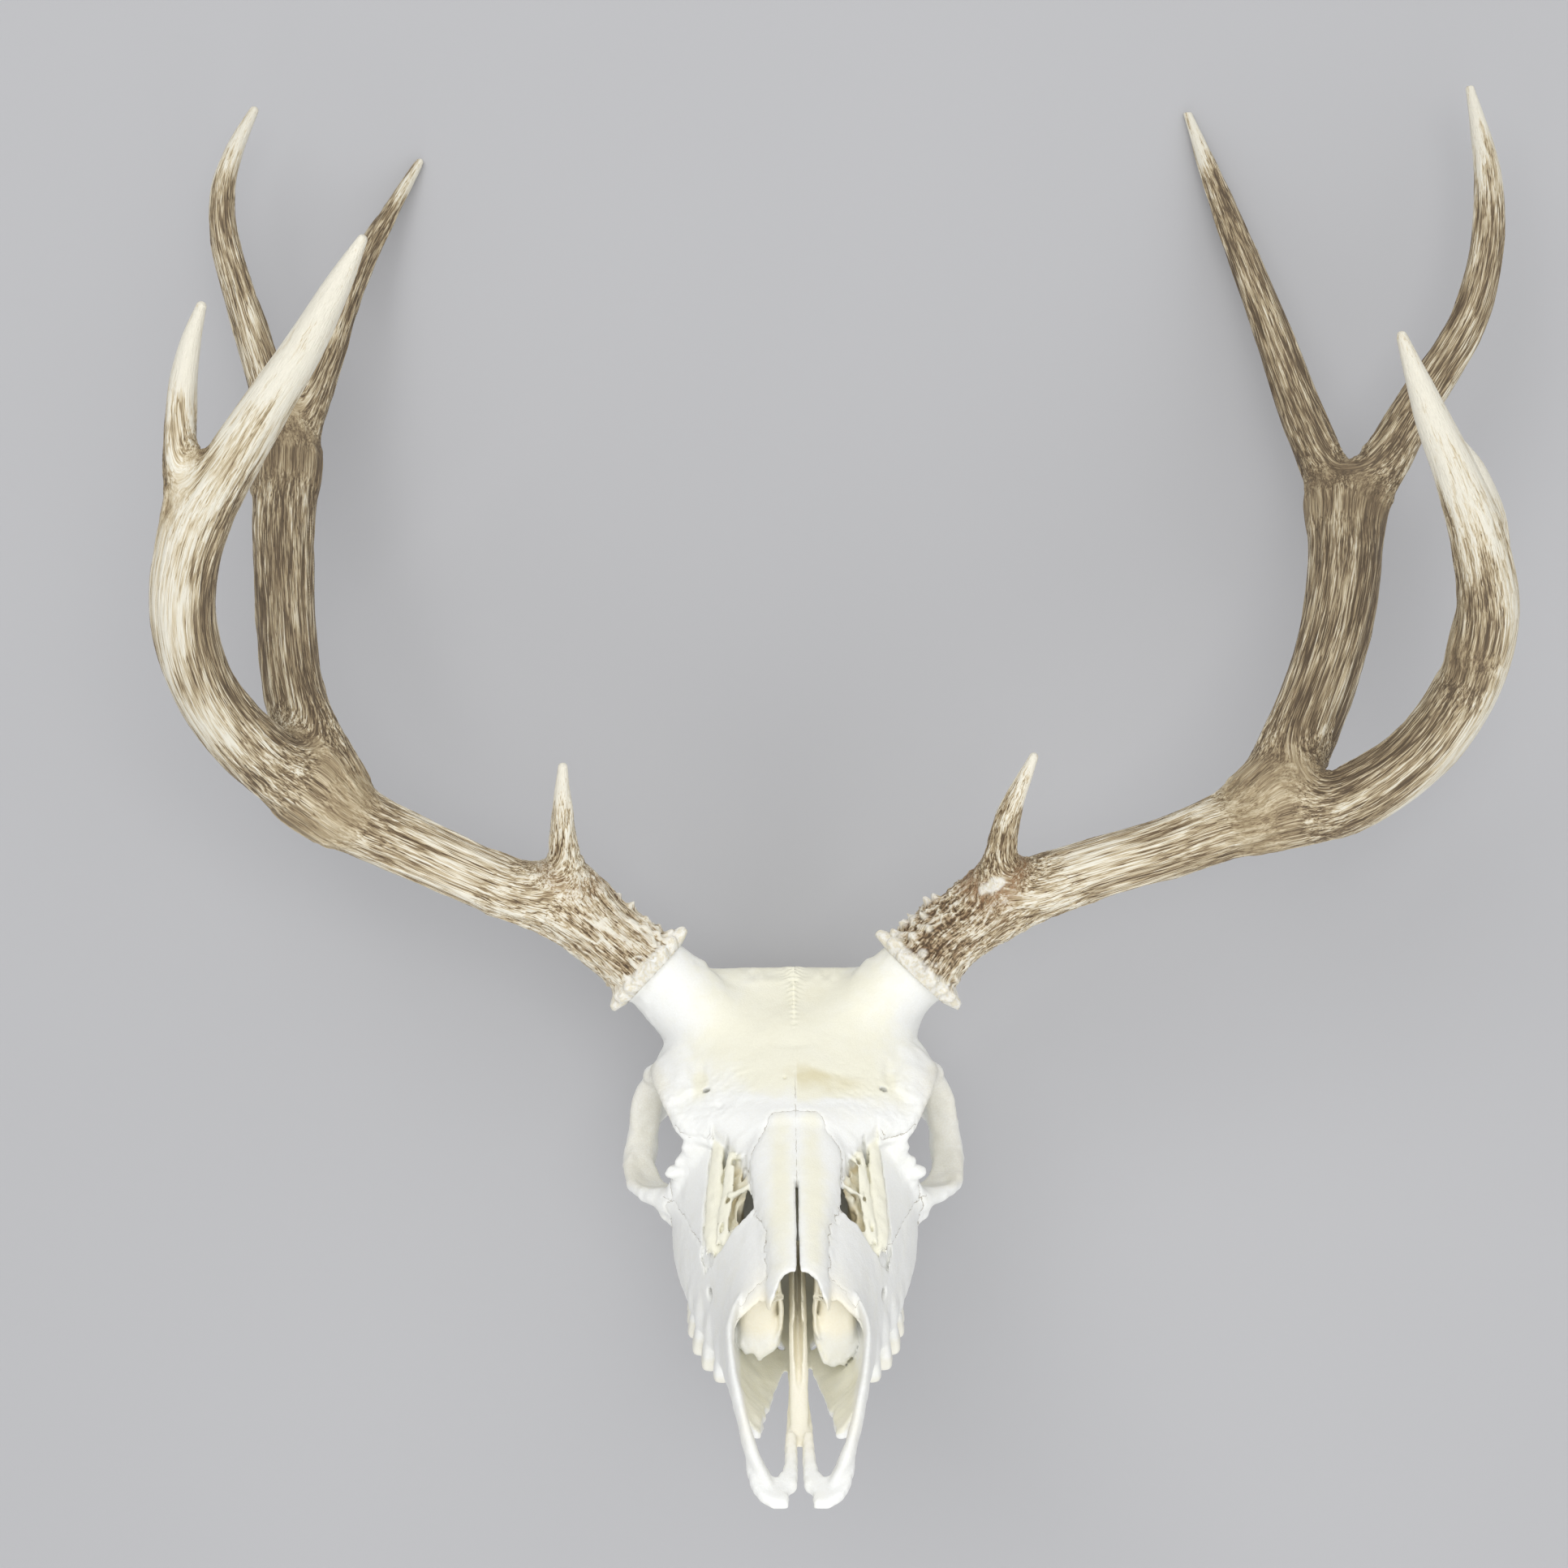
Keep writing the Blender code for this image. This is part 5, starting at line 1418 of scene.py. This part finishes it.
class Nodes:
    """Short names for building a node tree."""

    def __init__(self, name):
        self.material = bpy.data.materials.new(name)
        self.material.use_nodes = True
        self.tree = self.material.node_tree
        self.shader = self.tree.nodes["Principled BSDF"]

    def new(self, kind, **settings):
        node = self.tree.nodes.new(kind)
        for key, value in settings.items():
            setattr(node, key, value)
        return node

    def link(self, source, target):
        if isinstance(source, (int, float)):
            target.default_value = source
        elif isinstance(source, tuple):
            target.default_value = (*source, 1.0) if len(target.default_value) == 4 else source
        else:
            self.tree.links.new(source, target)

    def value(self, attribute):
        return self.new("ShaderNodeAttribute", attribute_name=attribute).outputs["Fac"]

    def vector(self, attribute):
        return self.new("ShaderNodeAttribute", attribute_name=attribute).outputs["Vector"]

    def maths(self, operation, a, b=0.0, c=0.0, clamp=False):
        node = self.new("ShaderNodeMath", operation=operation, use_clamp=clamp)
        for k, item in enumerate((a, b, c)):
            self.link(item, node.inputs[k])
        return node.outputs[0]

    def plus(self, a, b, clamp=False):
        return self.maths("ADD", a, b, clamp=clamp)

    def minus(self, a, b):
        return self.maths("SUBTRACT", a, b)

    def times(self, a, b):
        return self.maths("MULTIPLY", a, b)

    def ramp(self, value, low, high, to_low=0.0, to_high=1.0):
        node = self.new("ShaderNodeMapRange", interpolation_type="SMOOTHSTEP")
        for k, item in enumerate((value, low, high, to_low, to_high)):
            self.link(item, node.inputs[k])
        return node.outputs[0]

    def mix(self, factor, a, b, blend="MIX"):
        node = self.new("ShaderNodeMix", data_type="RGBA", blend_type=blend)
        self.link(factor, node.inputs["Factor"])
        self.link(a, node.inputs[6])
        self.link(b, node.inputs[7])
        return node.outputs[2]

    def scaled(self, vector, scale):
        node = self.new("ShaderNodeVectorMath", operation="MULTIPLY")
        self.link(vector, node.inputs[0])
        node.inputs[1].default_value = scale
        return node.outputs[0]

    def noise(self, vector, scale, detail=3.0, rough=0.5):
        node = self.new("ShaderNodeTexNoise")
        self.link(vector, node.inputs["Vector"])
        node.inputs["Scale"].default_value = scale
        node.inputs["Detail"].default_value = detail
        node.inputs["Roughness"].default_value = rough
        return node.outputs["Fac"]

    def bump(self, height, strength, distance, normal=None):
        node = self.new("ShaderNodeBump")
        node.inputs["Strength"].default_value = strength
        node.inputs["Distance"].default_value = distance
        self.link(height, node.inputs["Height"])
        if normal is not None:
            self.link(normal, node.inputs["Normal"])
        return node.outputs["Normal"]


# Colours of the bone
WHITE = (0.885, 0.89, 0.865)
CREAM = (0.865, 0.845, 0.70)
TAN = (0.72, 0.66, 0.44)
NASAL_CREAM = (0.93, 0.88, 0.72)
ENAMEL = (0.80, 0.77, 0.64)
# painted shade for the recessed inner wall of the orbit
ORBIT_PAINTED_SHADE = (0.78, 0.755, 0.67)
# ochre of the deep cells, darkened with painted shade of their recess
CELL_OCHRE_AND_SHADE = (0.66, 0.54, 0.30)
SEAM_BROWN = (0.32, 0.27, 0.19)
FINE_STAIN = (0.70, 0.64, 0.50)
# Colours of the antlers, and of the floor
ANTLER_TONES = (
    (0.0, (0.085, 0.052, 0.026)), (0.25, (0.195, 0.132, 0.070)), (0.5, (0.42, 0.325, 0.190)),
    (0.75, (0.68, 0.585, 0.41)), (1.0, (0.85, 0.81, 0.69)))
RUST = (0.30, 0.165, 0.075)
FAR_BROWN = (0.30, 0.28, 0.20)
CRUST = ((0.81, 0.76, 0.62), (0.88, 0.86, 0.79))
FLOOR_GREYS = ((0.44, 0.44, 0.45), (0.47, 0.47, 0.48))


def bone_material():
    n = Nodes("bone")
    place = n.vector("skull_place")
    cream, inner, tooth = n.value("cream"), n.value("inner"), n.value("tooth")
    shade, cell = n.value("shade"), n.value("cell")
    mottle = n.noise(place, 1.6, 4)
    fine = n.noise(place, 14.0, 3)
    pores = n.noise(place, 42.0, 2)
    tone = n.plus(cream, n.ramp(mottle, 0.3, 0.75, -0.06, 0.08))
    colour = n.mix(n.ramp(tone, 0.0, 0.5), WHITE, CREAM)
    colour = n.mix(n.ramp(tone, 0.5, 1.1), colour, TAN)
    deep = n.times(inner, n.ramp(fine, 0.2, 0.8, 0.8, 1.0))
    colour = n.mix(deep, colour, NASAL_CREAM)
    colour = n.mix(n.times(tooth, 0.6), colour, ENAMEL)
    # painted shade on the orbit's inner wall
    colour = n.mix(n.times(shade, n.ramp(fine, 0.25, 0.75, 0.35, 0.75)), colour, ORBIT_PAINTED_SHADE)
    # deep cells: their ochre plus painted shade, stronger deeper in the recess
    colour = n.mix(n.times(cell, n.ramp(mottle, 0.3, 0.7, 0.35, 0.9)), colour, CELL_OCHRE_AND_SHADE)
    zigzag = n.times(n.minus(n.noise(place, 8.0, 1), 0.5), 1.3)
    lines = None
    for name, weights in (("seams", (1.0, 1.6, 1.0)), ("seams_two", (0.8, 1.0, 1.2))):
        split = n.new("ShaderNodeSeparateXYZ")
        n.link(n.vector(name), split.inputs[0])
        for k in range(3):
            off = n.maths("ABSOLUTE", n.plus(split.outputs[k], zigzag))
            off = n.times(off, weights[k])
            lines = off if lines is None else n.maths("MINIMUM", lines, off)
    split = n.new("ShaderNodeSeparateXYZ")
    n.link(place, split.inputs[0])
    middle = n.maths("ABSOLUTE", n.plus(n.times(split.outputs[0], 10.0), n.times(zigzag, 0.45)))
    hidden = n.plus(n.ramp(split.outputs[1], 14.5, 19.5), n.ramp(split.outputs[2], 4.6, 4.2))
    lines = n.maths("MINIMUM", lines, n.plus(middle, hidden))
    broken = n.ramp(n.noise(place, 2.2, 2), 0.34, 0.52)
    seam = n.times(n.ramp(lines, 0.03, 0.17, 1.0, 0.0), broken)
    colour = n.mix(n.times(seam, 0.7), colour, SEAM_BROWN)
    colour = n.mix(n.ramp(fine, 0.35, 0.75, 0.0, 0.10), colour, FINE_STAIN)
    n.link(colour, n.shader.inputs["Base Color"])
    n.shader.inputs["Roughness"].default_value = 0.48
    n.shader.inputs["Specular IOR Level"].default_value = 0.35
    height = n.plus(n.times(fine, 0.6), n.times(pores, 0.35))
    height = n.minus(height, n.times(seam, 1.2))
    n.link(n.bump(height, 0.35, 0.0006), n.shader.inputs["Normal"])
    return n.material


def antler_material():
    n = Nodes("antler")
    grain, place = n.vector("grain"), n.vector("rest_place")
    ivory, furrow, pearl = n.value("ivory"), n.value("furrow"), n.value("pearl")
    bleach, zone, pale = n.value("bleach"), n.value("zone"), n.value("pale")
    web, stain, far = n.value("web"), n.value("stain"), n.value("far")
    streak = n.noise(n.scaled(grain, (0.045, 1.7, 1.7)), 1.0, 3, 0.6)
    hair = n.noise(n.scaled(grain, (0.10, 3.8, 3.8)), 1.0, 2, 0.6)
    patch = n.noise(n.scaled(grain, (0.018, 0.16, 0.16)), 1.0, 2)
    cracks = n.noise(n.scaled(grain, (0.028, 0.9, 0.9)), 1.0, 2, 0.55)
    cracks = n.maths("ABSOLUTE", n.minus(cracks, 0.5))
    specks = n.noise(place, 9.0, 3)
    plain = n.minus(1.0, n.times(web, 0.65))
    plain = n.times(plain, n.ramp(ivory, 0.2, 1.0, 1.0, 0.45))
    tone = n.ramp(streak, 0.38, 0.62, -0.26, 0.28)
    tone = n.plus(tone, n.ramp(hair, 0.34, 0.66, -0.16, 0.18))
    tone = n.plus(tone, n.ramp(cracks, 0.004, 0.035, -0.42, 0.02))
    tone = n.plus(tone, n.times(furrow, 0.30))
    tone = n.times(tone, plain)
    tone = n.plus(tone, n.ramp(patch, 0.35, 0.65, 0.38, 0.60))
    tone = n.plus(tone, n.times(ivory, 0.80))
    tone = n.plus(tone, n.times(pale, 0.26))
    tone = n.plus(tone, n.times(far, -0.17))
    tone = n.plus(tone, n.times(zone, n.ramp(specks, 0.38, 0.60, -0.42, 0.06)))
    tone = n.plus(tone, n.times(pearl, 0.85), clamp=True)
    ramp = n.new("ShaderNodeValToRGB")
    ramp.color_ramp.elements.remove(ramp.color_ramp.elements[1])
    for k, (position, colour) in enumerate(ANTLER_TONES):
        element = ramp.color_ramp.elements[0] if k == 0 else ramp.color_ramp.elements.new(position)
        element.position = position
        element.color = (*colour, 1.0)
    n.link(tone, ramp.inputs[0])
    rust = n.times(stain, n.ramp(specks, 0.35, 0.6, 0.15, 0.75))
    rust = n.maths("MAXIMUM", rust, n.times(zone, n.ramp(specks, 0.42, 0.62, 0.0, 0.35)))
    rust = n.times(rust, n.minus(1.0, pearl))
    colour = n.mix(rust, ramp.outputs[0], RUST)
    colour = n.mix(n.times(far, 0.10), colour, FAR_BROWN)
    crust = n.mix(n.ramp(specks, 0.42, 0.55), *CRUST)
    colour = n.mix(n.times(bleach, 0.95), colour, crust)
    n.link(colour, n.shader.inputs["Base Color"])
    n.link(n.ramp(ivory, 0.0, 1.0, 0.56, 0.36), n.shader.inputs["Roughness"])
    n.shader.inputs["Specular IOR Level"].default_value = 0.4
    height = n.plus(n.times(streak, 0.8), n.times(hair, 0.7))
    height = n.plus(height, n.times(n.times(zone, specks), 0.8))
    n.link(n.bump(height, 0.6, 0.0010), n.shader.inputs["Normal"])
    return n.material


def floor_material():
    n = Nodes("floor")
    place = n.new("ShaderNodeNewGeometry").outputs["Position"]
    grey = n.mix(n.noise(place, 3.0, 2), *FLOOR_GREYS)
    n.link(grey, n.shader.inputs["Base Color"])
    n.shader.inputs["Roughness"].default_value = 0.9
    return n.material


# ---------------------------------------------------------------- stage

FLOOR_HALF = 1.6             # metres
FLOOR_HEIGHT = -0.0004
# Lamps: (name, place in metres, size, power)
LIGHTS = (
    ("key", (-0.5, 0.6, 1.3), 0.8, 5.4),
    ("overhead", (0.1, 0.1, 1.7), 0.7, 6.0),
    ("top", (0.4, 1.0, 0.9), 1.2, 2.0),
    ("fill", (0.8, -0.5, 1.2), 1.4, 2.5),
    ("front", (0.0, -1.3, 0.7), 1.2, 6.0))
LIT_PLACE = (0.0, 0.0, 0.1)
CAMERA_PLACE = (-3.5, 0.0, 1000.0)      # mm, before the rest shift
SENSOR_WIDTH = 36.0
FOCAL_PIXELS = 3000
PHOTO_PIXELS = 1932          # width of the photo


def floor():
    corners = ((-1, -1), (1, -1), (1, 1), (-1, 1))
    mesh = bpy.data.meshes.new("floor")
    mesh.from_pydata([(FLOOR_HALF * x, FLOOR_HALF * y, 0) for x, y in corners], [], [(0, 1, 2, 3)])
    mesh.materials.append(floor_material())
    obj = bpy.data.objects.new("floor", mesh)
    bpy.context.scene.collection.objects.link(obj)
    obj.location.z = FLOOR_HEIGHT


def area_light(name, place, size, power):
    light = bpy.data.lights.new(name, "AREA")
    light.energy = power
    light.size = size
    obj = bpy.data.objects.new(name, light)
    obj.location = place
    obj.rotation_euler = (Vector(LIT_PLACE) - Vector(place)).to_track_quat("-Z", "Y").to_euler()
    bpy.context.scene.collection.objects.link(obj)


def lights_and_camera():
    scene = bpy.context.scene
    for light in LIGHTS:
        area_light(*light)
    world = bpy.data.worlds.new("studio")
    world.use_nodes = True
    sky = world.node_tree.nodes["Background"].inputs
    sky["Color"].default_value = (0.97, 0.98, 1.0, 1.0)
    sky["Strength"].default_value = 0.60
    scene.world = world
    scene.view_settings.view_transform = "Standard"
    camera = bpy.data.cameras.new("camera")
    camera.sensor_width = SENSOR_WIDTH
    camera.lens = SENSOR_WIDTH * FOCAL_PIXELS / PHOTO_PIXELS
    camera.clip_start = 0.05
    obj = bpy.data.objects.new("camera", camera)
    obj.location = Vector(CAMERA_PLACE) * MM + Vector(REST_SHIFT.tolist()) * MM
    scene.collection.objects.link(obj)
    scene.camera = obj


floor()
lights_and_camera()
build_skull(bone_material())
shared_antler = antler_material()
for antler_side, _ in SIDES:
    build_antler(antler_side, shared_antler)
